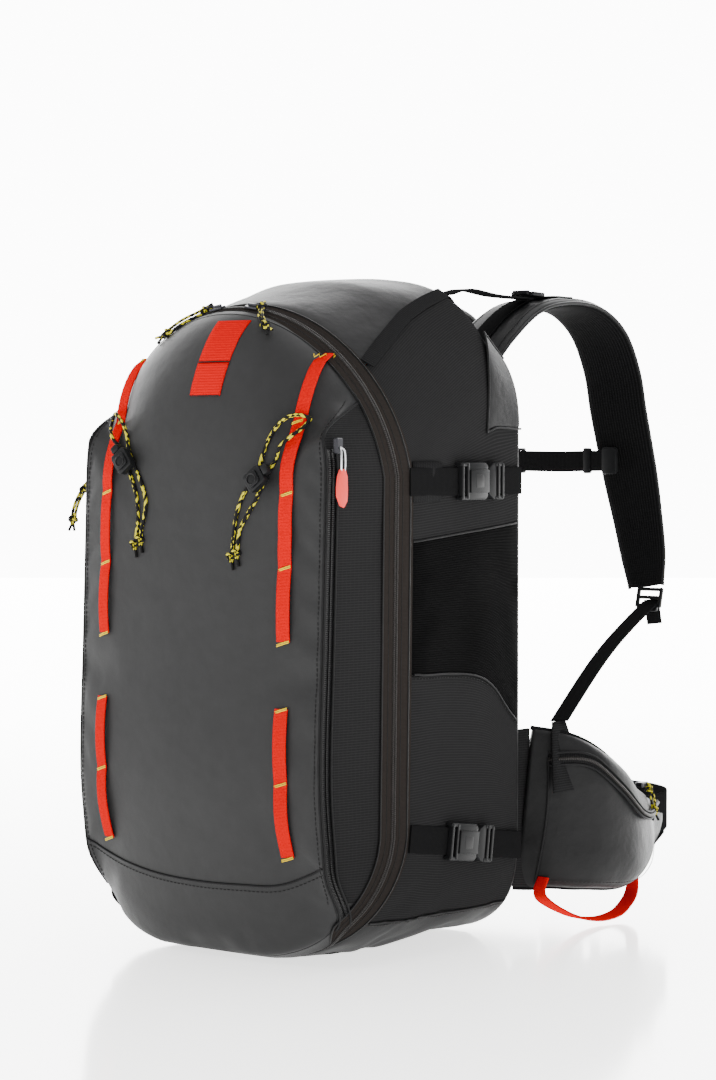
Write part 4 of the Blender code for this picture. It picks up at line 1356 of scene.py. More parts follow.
def pull_cord(name, route, body):
    """A doubled cord from a slider, tied near the slider and at its end."""
    middle = evenly(smooth_route(route, 6), 13)
    frames = frames_along(middle, (0.2, -1.0, 0.3))
    gap = PULL_DIAMETER * 0.62
    out = [p + normal * gap for p, _, _, normal in frames]
    back = [p - normal * gap for p, _, _, normal in frames]
    tip, along, _, normal = frames[-1]
    angles = (math.pi / 4, math.pi / 2, math.pi * 3 / 4)
    turn = [tip + along * (gap * math.sin(a)) + normal * (gap * math.cos(a)) for a in angles]
    path = smooth_route(out + turn + back[::-1], 3)
    thing = tube(name, path, PULL_DIAMETER, "cord", body, 8, slot="cord")
    for i, share in enumerate(PULL_KNOTS):
        at = middle[round(share * 12)]
        knot(f"{name}_knot_{i}", at, along, 0.0037, PULL_DIAMETER, "cord", body)
    for i, turned in enumerate((0.35, -0.35)):
        way = (along + normal * turned).normalized()
        ends = [tip + way * (0.0022 * k) for k in range(5)]
        tube(f"{name}_end_{i}", ends, PULL_DIAMETER * 0.9, "cord", body, 8)


def on_front(x, z):
    return (x, front_y(x, z) - 0.0045, z)


def make_pull_cords():
    left = [on_front(x, z) for x, z in ((-0.038, 0.5490), (-0.052, 0.5415), (-0.070, 0.5300))]
    right = [on_front(x, z) for x, z in ((0.034, 0.5490), (0.042, 0.5420), (0.052, 0.5340))]
    pull_cord("zip_pull_left", [(-0.0290, -0.0600, 0.5560)] + left, "zip_slider_left")
    pull_cord("zip_pull_right", [(0.0270, -0.0600, 0.5560)] + right, "zip_slider_right")
    pull_cord("side_zip_pull", SIDE_PULL, "lid")
    pull_cord("hip_zip_pull", HIP_PULL, "hip_pocket_slider")


def make_daisy_chains(surface):
    """Red webbing tacked down at intervals and bowed out between the tacks."""
    for level, tacks in CHAIN_TACKS.items():
        for side, hand in HANDS:
            path = []
            for high, low in zip(tacks, tacks[1:]):
                for i in range(8):
                    z = between(high, low, i / 8)
                    path.append(surface.at(side * CHAIN_X, z, 0.0014 + 0.0022 * bulge(i, 8) ** 0.8))
            path.append(surface.at(side * CHAIN_X, tacks[-1], 0.0014))
            name = f"{level}_daisy_chain_{hand}"
            across = [Vector((1.0, side * 0.18, 0.0))] * len(path)
            mesh = sweep(name, path, band_section(CHAIN_WIDTH, 0.0015), across)
            place(name, mesh, "red_webbing", "lid", (name,), "red_webbing")
            for k, z in enumerate(tacks):
                make_tack(f"{name}_tack_{k}", side * CHAIN_X, z, surface, zigzag=level == "upper" and k == 0)


def make_tack(name, x, z, surface, zigzag):
    """Bars of thread across the webbing, or one zigzag of thread."""
    half = CHAIN_WIDTH / 2 - 0.0006
    if zigzag:
        turns = enumerate(spaced(-half, half, 9))
        lines = [[surface.at(x + across, z - 0.0012 - 0.0026 * (i % 2), 0.0030) for i, across in turns]]
    else:
        lines = []
        for rise in (-0.0020, -0.0007):
            lines.append([
                surface.at(x - half, z - 0.0018 + rise, 0.0022),
                surface.at(x, z + rise, 0.0031),
                surface.at(x + half, z + 0.0018 + rise, 0.0022),
            ])
    strands = [sweep("strand", line, round_section(0.0005, 5)) for line in lines]
    place(name, joined("tack", strands), "yellow_thread", "lid")


def label_x(z):
    """Left edge of the label, which leans a little."""
    return between(-0.006, 0.0005, (z - 0.476) / 0.064)


def label_patch(name, surface, low, high, thickness):
    """One part of the label, between two heights."""
    rows = []
    for z in spaced(high, low, 13):
        rows.append([surface.at(label_x(z) + LABEL_WIDTH * i / 6, z, thickness) for i in range(7)])
    thicken(grid_piece(name, rows, (0.0, 0.1, 0.3), "red_label", "lid"), thickness)


def make_label(surface):
    """Plain red label in two parts below the zip."""
    label_patch("label_upper", surface, 0.5052, 0.5395, 0.0010)
    label_patch("label_lower", surface, 0.4760, 0.5040, 0.0012)
    for name, z in (("label_split", 0.5046), ("label_hem", 0.4762)):
        line = [surface.at(label_x(z) + LABEL_WIDTH * i / 8, z, 0.0012) for i in range(9)]
        tube(name, line, 0.0008, "thread", "lid", 6)


PULL_WIRE = [
    (0.1420, -0.1000, 0.4330), (0.1450, -0.1022, 0.4300), (0.1455, -0.1026, 0.4200),
    (0.1450, -0.1018, 0.4120), (0.1450, -0.0982, 0.4120), (0.1455, -0.0974, 0.4200),
    (0.1450, -0.0978, 0.4300), (0.1420, -0.1000, 0.4330),
]
TAB_OUTLINE = [
    (0.0, -0.0030), (0.0, 0.0030), (0.006, 0.0058), (0.018, 0.0066), (0.026, 0.0062), (0.0315, 0.0022),
    (0.0300, -0.0020), (0.022, -0.0066), (0.014, -0.0068), (0.006, -0.0058),
]


def make_pocket_zip():
    """A covered zip down the right-hand fold, with its slider and pull."""
    stretch = lid_stretch(0.86, 0.42)

    def beside_fold(distance):
        """The line at a distance behind the fold."""
        line = []
        for zone, t in stretch:
            points, _ = lid_spoke(1, zone, t)
            at = along_spoke(points, gusset_depth(1, zone, t) - distance)
            line.append(at + Vector((0.0014, -0.0002, 0)))
        return line

    for name, distances in (("front", (0.0005, 0.0030, 0.0058)), ("rear", (0.0062, 0.0090, 0.0115))):
        rows = [list(row) for row in zip(*[beside_fold(distance) for distance in distances])]
        thing = grid_piece(f"pocket_zip_{name}", rows, (0.0, -0.06, 0.29), "glossy_zip", "lid")
        thicken(thing, 0.0009)
        refine(thing)
    for name, distance in (("front", 0.0005), ("rear", 0.0115)):
        welt = [p + Vector((0.0004, 0, 0)) for p in beside_fold(distance)]
        tube(f"pocket_welt_{name}", welt, 0.0018, "coated_dark", "lid", 8)
    finish_node("pocket_slider", "dark_steel")
    tube("pocket_pull_wire", smooth_route(PULL_WIRE, 4), 0.0014, "steel", "pocket_tab", 8)
    frame_here = strap_frame((0.1432, -0.100, 0.4150), (0.1432, -0.1010, 0.3850), (1, 0, 0))
    mesh = moulded("pocket_tab_cloth", [(TAB_OUTLINE, 0.0, 0.0026, frame_here)], 0.0008)
    place("pocket_tab_cloth", mesh, "salmon_plain", "pocket_tab", ("pocket_pull_tab",), "salmon_tab")


def finish_node(name, material):
    """A CAD node kept as it is, in a material of the scene."""
    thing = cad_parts[name]
    if not thing.material_slots:
        thing.data.materials.append(MATERIALS[material])
    for slot in thing.material_slots:
        slot.material = MATERIALS[material]


def make_sliders():
    """Main sliders on the coil, each with a bridge and a black pull loop; and the small slider's finish."""
    path, outward = zip_ring(COIL_AHEAD, 0.0024)
    top = [i for i, p in enumerate(path) if p.z > 0.45]
    shell = [
        (-0.0065, -0.0034), (0.0035, -0.0046), (0.0070, -0.0040),
        (0.0070, 0.0040), (0.0035, 0.0046), (-0.0065, 0.0034),
    ]
    bridge = rounded_box(0.0, 0.0, 0.0100, 0.0024, 0.0010)
    for side, hand in HANDS:
        k = min(top, key=lambda i: abs(path[i].x - side * SLIDER_X))
        outer = max((path[k - 1], path[k + 1]), key=lambda p: p.x * side)
        here = strap_frame(path[k], path[k] + (outer - path[k]).normalized(), outward[k])
        mesh = moulded("shell", [(shell, -0.0006, 0.0014, here), (bridge, 0.0012, 0.0036, here)], 0.0006)
        body = f"zip_slider_{hand}"
        place(f"slider_shell_{hand}", mesh, "dark_steel", body, (f"main_slider_{hand}",), "steel")
        steps_out = [(0.004 + 0.0085 * i / 8, 0.0022 * bulge(i, 8)) for i in range(9)]
        loop = [here @ Vector((x, y, 0.0030)) for x, y in steps_out]
        loop += [here @ Vector((x, -y, 0.0030)) for x, y in reversed(steps_out)]
        place(f"slider_loop_{hand}", sweep("loop", loop, round_section(0.0011, 6)), "plain_cord", body)
    finish_node("hip_pocket_slider", "dark_steel")


def make_cord_lock(hand):
    """Barrel lock with a sprung button, which grips both strands of an accessory cord."""
    x, z, angle = CORD_LOCKS[hand]
    slope = (front_y(x, z + 0.01) - front_y(x, z - 0.01)) / 0.02
    up = Vector((0.0, slope, 1.0)).normalized()
    outward = Vector((0.0, -1.0, slope)).normalized()
    centre = Vector((x, front_y(x, z), z)) + outward * 0.0075
    towards = Vector((math.cos(angle), 0.0, 0.0)) + up * math.sin(angle)
    here = strap_frame(centre, centre + towards, outward)
    body = [
        (-0.010, -0.0065), (-0.008, -0.0085), (0.006, -0.0085), (0.0095, -0.0070),
        (0.0095, 0.0070), (0.006, 0.0085), (-0.008, 0.0085), (-0.010, 0.0065),
    ]
    press = [
        (0.0100, -0.0042), (0.0145, -0.0042), (0.0162, -0.0030),
        (0.0162, 0.0030), (0.0145, 0.0042), (0.0100, 0.0042),
    ]
    rim = rounded_box(-0.001, 0.0, 0.0125, 0.0125, 0.003)
    name = f"cord_lock_body_{hand}"
    mesh = moulded(name, [(body, 0.0, 0.0072, here), (rim, 0.0070, 0.0090, here)], 0.0012)
    barrel = place(name, mesh, "buckle", "lid", (f"cord_lock_{hand}",), "buckle")
    name = f"cord_lock_press_{hand}"
    mesh = moulded(name, [(press, 0.0010, 0.0070, here)], 0.0010)
    button = place(name, mesh, "buckle", f"lock_button_{hand}", (f"cord_lock_button_{hand}",), "buckle")
    angles = [math.tau * i / 20 for i in range(21)]
    ring = [here @ Vector((0.0045 * math.cos(a) - 0.001, 0.0045 * math.sin(a), 0.0092)) for a in angles]
    return [barrel, button, tube(f"cord_lock_ring_{hand}", ring, 0.0012, "piping", "lid", 6)]


# ---------------------------------------------------------------- compression straps

def bar_parts(bars, middle, length, width, thick, here):
    """Two bars that webbing loops round and the sides that join them, as parts of a moulding."""
    parts = []
    for x in bars:
        parts.append((rounded_box(x, 0.0, 0.0030, width * 0.96, 0.0014), thick * 0.30, thick * 0.85, here))
    for s in (-1, 1):
        side = rounded_box(middle, s * width / 2 * 0.90, length, width * 0.10, 0.0012)
        parts.append((side, thick * 0.05, thick * 0.80, here))
    return parts


def side_release(name, here, width, female, male, thick, bodies, nodes):
    """A side-release buckle in two halves along X: the socket from 0, the prongs from its far end."""
    half = width / 2
    socket = [
        (0.011, -half * 0.92), (0.013, -half), (female - 0.004, -half), (female, -half * 0.80),
        (female, half * 0.80), (female - 0.004, half), (0.013, half), (0.011, half * 0.92),
    ]
    top = [
        (0.012, -half * 0.62), (female - 0.001, -half * 0.62),
        (female - 0.001, half * 0.62), (0.012, half * 0.62),
    ]
    window = rounded_box(female * 0.62, 0.0, female * 0.30, width * 0.36, 0.002)
    parts = [(socket, 0.0, thick * 0.72, here), (top, thick * 0.68, thick * 0.95, here)]
    parts += bar_parts((0.0020, 0.0095), 0.0055, 0.012, width, thick, here)
    mesh = moulded(f"{name}_socket", parts, 0.0007)
    place(f"{name}_socket", mesh, "buckle", bodies[0], nodes[0], "buckle")
    # A darker plate over the socket's window: painted shade in the opening.
    inner = moulded(f"{name}_socket_window_shade", [(window, thick * 0.90, thick * 0.97, here)], 0.0004)
    place(f"{name}_socket_window_shade", inner, "piping", bodies[0])
    start, end = female + 0.0008, female + 0.0008 + male
    parts = []
    for s in (-1, 1):
        arm = [
            (start + 0.002, s * half * 0.42), (start - 0.004, s * half * 0.80),
            (start - female * 0.40, s * half * 0.96), (start - female * 0.52, s * half * 0.70),
            (start - female * 0.36, s * half * 0.55), (start, s * half * 0.30),
        ]
        parts.append((arm[::s], thick * 0.22, thick * 0.62, here))
    tongue = rounded_box(start - female * 0.20, 0.0, female * 0.42, width * 0.12, 0.0012)
    neck = [
        (start, -half * 0.70), (start + 0.007, -half * 0.98), (start + 0.011, -half), (start + 0.011, half),
        (start + 0.007, half * 0.98), (start, half * 0.70),
    ]
    parts += [(tongue, thick * 0.25, thick * 0.60, here), (neck, thick * 0.05, thick * 0.75, here)]
    bars = (end - 0.0080, end - 0.0018)
    parts += bar_parts(bars, (start + 0.009 + end) / 2, end - start - 0.010, width, thick, here)
    mesh = moulded(f"{name}_prongs", parts, 0.0006)
    place(f"{name}_prongs", mesh, "buckle", bodies[1], nodes[1], "buckle")


def compression_webbing(name, route, side, node, rising):
    """Webbing on one side of a buckle, which stands off the bag more towards the buckle."""
    path = smooth_route(route, 5)
    last = len(path) - 1
    swelled = []
    for i, p in enumerate(path):
        near_buckle = i / last if rising else 1 - i / last
        swelled.append(p + Vector((side * (0.0006 + 0.0030 * near_buckle ** 2), 0, 0)))
    mesh = sweep(name, swelled, band_section(STRAP_WIDTH * 0.96, 0.0016), [Vector((0, 0, 1))] * len(path))
    return place(name, mesh, "webbing", "pack", (node,), "webbing")


def anchor_patch(hand, tree, front, run, rise):
    """Reinforcing cloth under the front end of an upper strap."""
    rows = []
    for y in spaced(-0.013, 0.026, 7):
        z = between(front.z, front.z + rise, (y - front.y) / run)
        half = 0.0170 - 0.0020 * (y > 0.020)
        rows.append([on_bag(tree, (front.x, y, z + half * s), 0.0013) for s in (-1, -0.5, 0, 0.5, 1)])
    patch = grid_piece(f"anchor_patch_{hand}", rows, (0.0, 0.0, 0.4), "webbing_grey", "pack")
    thicken(patch, 0.0010)


def make_compression_straps(tree):
    for level, (front_z, rear_z) in COMPRESSION.items():
        for side, hand in HANDS:
            face = side * (HALF_WIDTH + 0.0014)
            front = Vector((face, COMPRESSION_FRONT_Y, front_z))
            rear = Vector((face, COMPRESSION_REAR_Y, rear_z))
            start_y = BUCKLE_FRONT_Y[level]
            run = rear.y - front.y
            socket, prongs = (start_y + 0.006 - front.y) / run, (start_y + 0.058 - front.y) / run
            lead = front + (front - rear).normalized() * 0.014
            near = [lead, front, front.lerp(rear, socket * 0.5), front.lerp(rear, socket)]
            behind = rear + Vector((-side * 0.004, 0.006, 0))
            far = [front.lerp(rear, prongs), front.lerp(rear, (1 + prongs) / 2), rear, behind]
            node = f"{level}_strap_{hand}"
            compression_webbing(f"{level}_webbing_near_{hand}", near, side, node, rising=True)
            thing = compression_webbing(f"{level}_webbing_far_{hand}", far, side, node, rising=False)
            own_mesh(thing)
            off = Vector((side * 0.0014, 0, 0))
            ends = [front.lerp(rear, (y - front.y) / run) + off for y in (start_y, start_y + 0.04)]
            side_release(
                f"{level}_clip_{hand}", strap_frame(*ends, (side, 0, 0)), 0.032, 0.040, 0.022, 0.009,
                ("pack", f"{level}_male_{hand}"),
                ((f"{level}_buckle_female_{hand}",), (f"{level}_buckle_male_{hand}",)),
            )
            if level == "upper":
                anchor_patch(hand, tree, front, run, rear_z - front_z)
            zigzag = []
            for i in range(8):
                zigzag.append(rear + Vector((side * 0.0016, -0.012 + 0.0016 * (-1) ** i, 0.0105 - 0.003 * i)))
            tube(f"{level}_rear_tack_{hand}", zigzag, 0.0010, "thread", "pack", 5)


# ---------------------------------------------------------------- harness

STRAP_ROUTE = [
    (0.067, 0.157, 0.480), (0.068, 0.178, 0.503), (0.069, 0.209, 0.533), (0.071, 0.252, 0.560),
    (0.074, 0.300, 0.569), (0.078, 0.345, 0.564), (0.082, 0.378, 0.543), (0.086, 0.396, 0.507),
    (0.090, 0.402, 0.467), (0.097, 0.411, 0.410), (0.104, 0.415, 0.365), (0.110, 0.416, 0.328),
    (0.114, 0.415, 0.298),
]
STRAP_HALF_WIDTHS = [
    0.026, 0.029, 0.031, 0.031, 0.031, 0.031, 0.031, 0.031, 0.031, 0.030, 0.027, 0.024, 0.019,
]
STRAP_HALF_THICK = 0.006
LOAD_LIFTER = [(0.0860, 0.150, 0.5750), (0.0830, 0.200, 0.5720), (0.0790, 0.258, 0.5720)]
LOWER_WEBBING = [(0.1160, 0.420, 0.2835), (0.1330, 0.312, 0.2380), (0.1500, 0.210, 0.1860)]
CABLE_ROUTE = [
    (-0.0950, 0.0950, 0.4195), (-0.0948, 0.0960, 0.4280), (-0.0930, 0.1010, 0.4400),
    (-0.0905, 0.1090, 0.4540), (-0.0870, 0.1180, 0.4720), (-0.0835, 0.1260, 0.4920),
    (-0.0805, 0.1335, 0.5100), (-0.0780, 0.1420, 0.5210), (-0.0765, 0.1510, 0.5230),
    (-0.0750, 0.1600, 0.5230), (-0.0740, 0.1700, 0.5250), (-0.0730, 0.1810, 0.5300),
    (-0.0725, 0.1930, 0.5380), (-0.0725, 0.2060, 0.5465), (-0.0725, 0.2200, 0.5550),
    (-0.0725, 0.2320, 0.5615),
]
STERNUM_Z = 0.421
STERNUM_Y = 0.3965

WING_ROUTE = [
    (0.128, 0.182, 0.108), (0.150, 0.205, 0.104), (0.166, 0.240, 0.091), (0.171, 0.280, 0.077),
    (0.166, 0.318, 0.075), (0.158, 0.350, 0.079), (0.150, 0.385, 0.083), (0.134, 0.420, 0.085),
    (0.102, 0.444, 0.085), (0.066, 0.453, 0.085), (0.040, 0.455, 0.085),
]
WING_HALF_HEIGHTS = [0.074, 0.071, 0.062, 0.050, 0.038, 0.025, 0.019, 0.019, 0.019, 0.019, 0.019]
WING_HALF_THICK = [0.008, 0.015, 0.020, 0.020, 0.015, 0.006, 0.0012, 0.0012, 0.0012, 0.0012, 0.0012]
GEAR_LOOP = [
    (0.152, 0.180, 0.0280), (0.160, 0.192, 0.0180), (0.168, 0.213, 0.0085), (0.173, 0.240, 0.0040),
    (0.174, 0.268, 0.0055), (0.171, 0.290, 0.0120), (0.168, 0.304, 0.0200),
]
BELT_Z = 0.085
BELT_Y = 0.455


def strap_line(side):
    """Centre, across, outward, half width and half thickness along a shoulder strap."""
    path = mirrored(smooth_route(STRAP_ROUTE, 8), side)
    halves = values_along(STRAP_HALF_WIDTHS, len(path))
    thicks = values_along([0.003, 0.005] + [STRAP_HALF_THICK] * (len(STRAP_ROUTE) - 3) + [0.004], len(path))
    line = []
    for (point, tangent, across, _), half, thick in zip(frames_along(path, (1, 0, 0)), halves, thicks):
        outward = tangent.cross(across)
        if outward.dot(point - Vector((0, 0.25, 0.40))) < 0:
            outward = -outward
        line.append((point, across, outward.normalized(), half, thick))
    return line


def line_at(line, share):
    """The row of a strap's or a wing's line at a share of its length: a blend of the two nearest rows."""
    i = min(max(share, 0.0), 1.0) * (len(line) - 1)
    low = min(int(i), len(line) - 2)
    t = i - low
    first, second = line[low], line[low + 1]
    vectors = [a.lerp(b, t) for a, b in zip(first[:3], second[:3])]
    return vectors + [between(a, b, t) for a, b in zip(first[3:], second[3:])]


def strap_point(line, share, u, lift):
    """A point on the strap's outer face: u from -1 to 1 across it."""
    point, across, outward, half, thick = line_at(line, share)
    crown = math.sqrt(max(1 - abs(u) ** 3, 0.0))
    return point + across * (u * half) + outward.normalized() * (thick * crown + lift)


def padded_strap(name, line, side, body, node):
    """Foam strap: outer cloth, soft mesh inner face with pressed channels, and bound edges."""
    rows = []
    for k, (p, a, o, half, thick) in enumerate(line):
        share = k / (len(line) - 1)
        row = []
        for u, v in squared_ring(32, 0.70, 0.75):
            channel = 0.0
            if v < 0 and abs(u) < 0.78:
                beat = math.sin((share * 34 + u * 1.3 * side) * math.pi)
                channel = 0.0013 * (1 - eased(abs(beat), 0.0, 0.5)) * (0.78 - abs(u))
            uneven = noise.noise(p * 26 + Vector((u, v, side))) * 0.0006
            depth = v * (thick - 0.0004) - math.copysign(channel, v) + uneven * abs(v)
            row.append(p + a * (u * half * 0.985) + o * depth)
        rows.append(row)
    mesh = filled(grid_mesh(name, rows, closed=True))
    thing = place(name, mesh, ("strap_cloth", "spacer_mesh"), body, (node,), "mesh_foam")
    for face in mesh.polygons:
        centre = face.center
        nearest = min(line, key=lambda one: (one[0] - centre).length_squared)
        face.material_index = 0 if (centre - nearest[0]).dot(nearest[2]) > 0 else 1
    refine(thing)
    for edge, u in (("outer", 1.0), ("inner", -1.0)):
        path = [p + a * (u * half * 0.985) for p, a, _, half, _ in line]
        tube(f"{name}_piping_{edge}", path, 0.0034, "piping", body, 8)


def ladder_lock(name, centre, along, outward, width, body):
    """A flat buckle of three bars for adjusting webbing."""
    here = strap_frame(centre, Vector(centre) + Vector(along), outward)
    bars = [rounded_box(x, 0.0, 0.0032, width, 0.0014) for x in (-0.008, 0.0, 0.008)]
    sides = [rounded_box(0.0, s * (width / 2 - 0.0014), 0.020, 0.0030, 0.0013) for s in (-1, 1)]
    parts = [(bar, -0.0014, 0.0018, here) for bar in bars] + [(side, -0.0016, 0.0020, here) for side in sides]
    parts.append((rounded_box(0.0112, 0.0, 0.0050, width * 0.72, 0.0020), -0.0008, 0.0030, here))
    place(name, moulded(name, parts, 0.0006), "buckle", body)


def band(name, route, across, width, thick, body, replaced=(), slot=None, sag=0.0):
    """Webbing along a route, all of it spread in one direction."""
    path = smooth_route(route, 6)
    last = len(path) - 1
    path = [p + Vector((0, 0, -sag * bulge(i, last))) for i, p in enumerate(path)]
    mesh = sweep(name, path, band_section(width, thick), [Vector(across)] * len(path))
    return place(name, mesh, "webbing", body, replaced, slot)


def strap_trim(hand, line, body):
    """Webbing down the middle of a shoulder strap, its tacks, and a stitched line near each edge."""
    shares = spaced(0.14, 0.97, 41)
    middle = [strap_point(line, share, 0.0, 0.0010) for share in shares]
    across = [line[min(int(share * (len(line) - 1)), len(line) - 1)][1] for share in shares]
    mesh = sweep(f"strap_webbing_{hand}", middle, band_section(0.020, 0.0014), across)
    place(f"strap_webbing_{hand}", mesh, "webbing", body)
    for k, share in enumerate((0.30, 0.42, 0.55, 0.70, 0.84)):
        turns = enumerate(spaced(-0.30, 0.30, 11))
        bar = [strap_point(line, share + 0.002 * (-1) ** i, u, 0.0022) for i, u in turns]
        tube(f"strap_tack_{k}_{hand}", bar, 0.0009, "thread", body, 5)
    for name, u in (("a", -0.80), ("b", 0.80)):
        stitched = [strap_point(line, share, u, 0.0002) for share in spaced(0.05, 0.98, 61)]
        tube(f"strap_stitch_{name}_{hand}", stitched, 0.0007, "thread", body, 5)


def make_load_lifter(side, hand, body):
    """Webbing from the top of the bag to a shoulder strap, with its lock and its sewn end."""
    top = tuple(bag_point(1, "arch", 0.31, 0.80) + Vector((0.0, 0.0, 0.0042)))
    route = mirrored([top] + LOAD_LIFTER, side)
    name = f"lifter_webbing_{hand}"
    thing = band(name, route, (1, 0, 0), 0.018, 0.0015, None, (f"load_lifter_{hand}",), "webbing")
    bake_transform(thing)
    end = route[-1]
    lock_at = end + Vector((0, 0.004, 0.0040))
    ladder_lock(f"lifter_lock_{hand}", lock_at, (0, -1, 0.03), (0, 0, 1), 0.025, body)
    tab = [end + Vector((0, 0.008 + 0.014 * i, 0.002 + 0.0004 * i)) for i in range(5)]
    band(f"lifter_anchor_{hand}", tab, (1, 0, 0), 0.020, 0.0015, body)


def make_adjuster(side, hand, end, body):
    """Webbing from the lower end of a shoulder strap to the bag's base, with its lock and its loose tail."""
    route = mirrored(LOWER_WEBBING, side)
    name, node = f"adjuster_webbing_{hand}", f"lower_webbing_{hand}"
    thing = band(name, route, (1, 0, 0), 0.018, 0.0015, None, (node,), "webbing", sag=-0.004)
    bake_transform(thing)
    lock_at = end + Vector((side * 0.001, 0.004, -0.010))
    ladder_lock(f"adjuster_lock_{hand}", lock_at, (0.0, -0.25, -0.97), (0, 1, -0.25), 0.028, body)
    loose = [lock_at + Vector((side * 0.001 * i, 0.0035 + 0.0006 * i, -0.002 - 0.008 * i)) for i in range(4)]
    band(f"adjuster_tail_{hand}", loose, (1, 0, 0), 0.017, 0.0014, body)


def make_shoulder_straps():
    for side, hand in HANDS:
        body = f"strap_{hand}"
        line = strap_line(side)
        padded_strap(f"strap_pad_{hand}", line, side, body, f"shoulder_strap_{hand}")
        strap_trim(hand, line, body)
        make_load_lifter(side, hand, body)
        make_adjuster(side, hand, line[-1][0], body)


def make_sternum_strap():
    y, z = STERNUM_Y, STERNUM_Z
    routes = {
        "right": [
            (-0.036, y, z), (-0.005, y, z - 0.0006), (0.025, y, z - 0.001),
            (0.055, y, z - 0.0004), (0.085, y, z),
        ],
        "left": [(-0.085, y, z), (-0.064, y, z), (-0.045, y + 0.001, z)],
    }
    for hand, route in routes.items():
        name, node = f"chest_webbing_{hand}", f"sternum_strap_{hand}"
        thing = band(name, route, (0, 0, 1), 0.020, 0.0016, f"sternum_{hand}", (node,), "webbing")
        if hand == "right":
            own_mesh(thing)
    here = strap_frame((-0.064, y - 0.0006, z), (0.0, y - 0.0006, z), (0, 1, 0))
    side_release(
        "chest_clip", here, 0.025, 0.022, 0.022, 0.0085,
        ("sternum_left", "sternum_clip"), ((), ("sternum_clip",)),
    )
    loop = strap_frame((0.0535, y, z), (0.0635, y, z), (0, 1, 0))
    parts = [(rounded_box(0.004, 0.0, 0.0075, 0.025, 0.002), -0.0022, 0.0026, loop)]
    place("chest_slider", moulded("chest_slider", parts, 0.0006), "buckle", "sternum_right")
    for side, hand in HANDS:
        clip = strap_frame((side * 0.084, y - 0.002, z), (side * 0.094, y - 0.002, z), (0, 1, 0))
        parts = [
            (rounded_box(0.0, 0.0, 0.016, 0.026, 0.003), -0.0014, 0.0032, clip),
            (rounded_box(0.0, 0.0, 0.005, 0.018, 0.002), 0.0030, 0.0046, clip),
        ]
        name = f"chest_rail_clip_{hand}"
        place(name, moulded(name, parts, 0.0008), "buckle", f"sternum_{hand}")


def make_trigger():
    """The release handle in its sleeve on the left shoulder strap, and its cable."""
    high, low = Vector((-0.0860, 0.396, 0.507)), Vector((-0.0970, 0.411, 0.410))
    outward = Vector((0.0, 1.0, 0.15)).normalized()
    start = high.lerp(low, 0.2) + outward * 0.0078
    here = strap_frame(start, start + low - high, outward)
    grip = [
        (0.033, -0.009), (0.037, -0.0126), (0.048, -0.0126), (0.0498, -0.010),
        (0.0498, 0.010), (0.048, 0.0126), (0.037, 0.0126), (0.033, 0.009),
    ]
    stem = [(0.0, -0.0052), (0.034, -0.0052), (0.034, 0.0052), (0.0, 0.0052)]
    mesh = moulded("release_handle", [(grip, 0.0004, 0.0116, here), (stem, 0.003, 0.008, here)], 0.0022)
    place("release_handle", mesh, "red_plastic", "trigger", ("trigger_handle",), "red_webbing")
    ridges = []
    for y in (-0.008, -0.003, 0.003, 0.008):
        ridges.append((rounded_box(0.0425, y, 0.010, 0.0024, 0.0010), 0.0112, 0.0122, here))
    place("release_grip_ridges", moulded("release_grip_ridges", ridges, 0.0004), "red_plastic", "trigger")
    path = smooth_route(CABLE_ROUTE, 4)
    node = "trigger_cable"
    cable = tube("release_cable", path, 0.004, "plain_cord", None, 10, replaced=(node,), slot="cord")
    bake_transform(cable)


# ---------------------------------------------------------------- hip belt

def wing_line(side):
    """Centre, up, outward, half height and half thickness along a wing of the hip belt and its webbing."""
    path = mirrored(smooth_route(WING_ROUTE, 8), side)
    halves = values_along(WING_HALF_HEIGHTS, len(path))
    thicks = values_along(WING_HALF_THICK, len(path))
    line = []
    for (point, tangent, _, _), half, thick in zip(frames_along(path, (0, 0, 1)), halves, thicks):
        outward = tangent.cross(Vector((0, 0, 1))).normalized()
        if (outward.x * side if point.y < 0.42 else outward.y) < 0:
            outward = -outward
        up = outward.cross(tangent).normalized()
        if up.z < 0:
            up = -up
        line.append((point, up, outward, half, thick))
    return line


def wing_point(line, share, v, lift):
    """A point on the outer face of a wing: v from -1 at its lower edge to 1 at its upper edge."""
    point, up, outward, half, thick = line_at(line, share)
    crown = max(1 - abs(v) ** 3, 0.0) ** (1 / 3)
    return point + up.normalized() * (v * half) + outward.normalized() * (thick * crown + lift)


WING_PADDED = 0.62


def zip_height(share):
    """Height on the wing of the hip pocket's zip, from -1 to 1."""
    dip = 0.62 * math.sin(math.pi * eased(share, 0.08, 0.62)) * 0.62
    return between(0.64, 0.80, eased(share, 0.05, 0.15)) - dip


def make_wing_pad(side, hand, line, body):
    """The padded part of a wing, with cloth outside, mesh inside, and bound edges."""
    rows = []
    for p, up, out, half, thick in line:
        row = []
        for w, v in squared_ring(36, 0.667, 0.667):
            puff = noise.noise(p * 20 + Vector((v * 1.4, w, side * 3))) * 0.0026 * max(w, 0.0)
            row.append(p + up * (v * half * 0.99) + out * (w * thick * 0.95 + puff - 0.0008))
        rows.append(row)
    name = f"wing_pad_{hand}"
    mesh = filled(grid_mesh(name, rows, closed=True))
    thing = place(name, mesh, ("wing_cloth", "spacer_mesh"), body, (f"hip_wing_{hand}",), "ripstop")
    for face in mesh.polygons:
        nearest = min(line, key=lambda one: (one[0] - face.center).length_squared)
        face.material_index = 0 if (face.center - nearest[0]).dot(nearest[2]) > -0.002 else 1
    refine(thing)
    for edge, v in (("top", 0.985), ("bottom", -0.985)):
        path = [p + up * (v * half) for p, up, _, half, _ in line]
        tube(f"wing_binding_{edge}_{hand}", path, 0.0042, "webbing", body, 8)


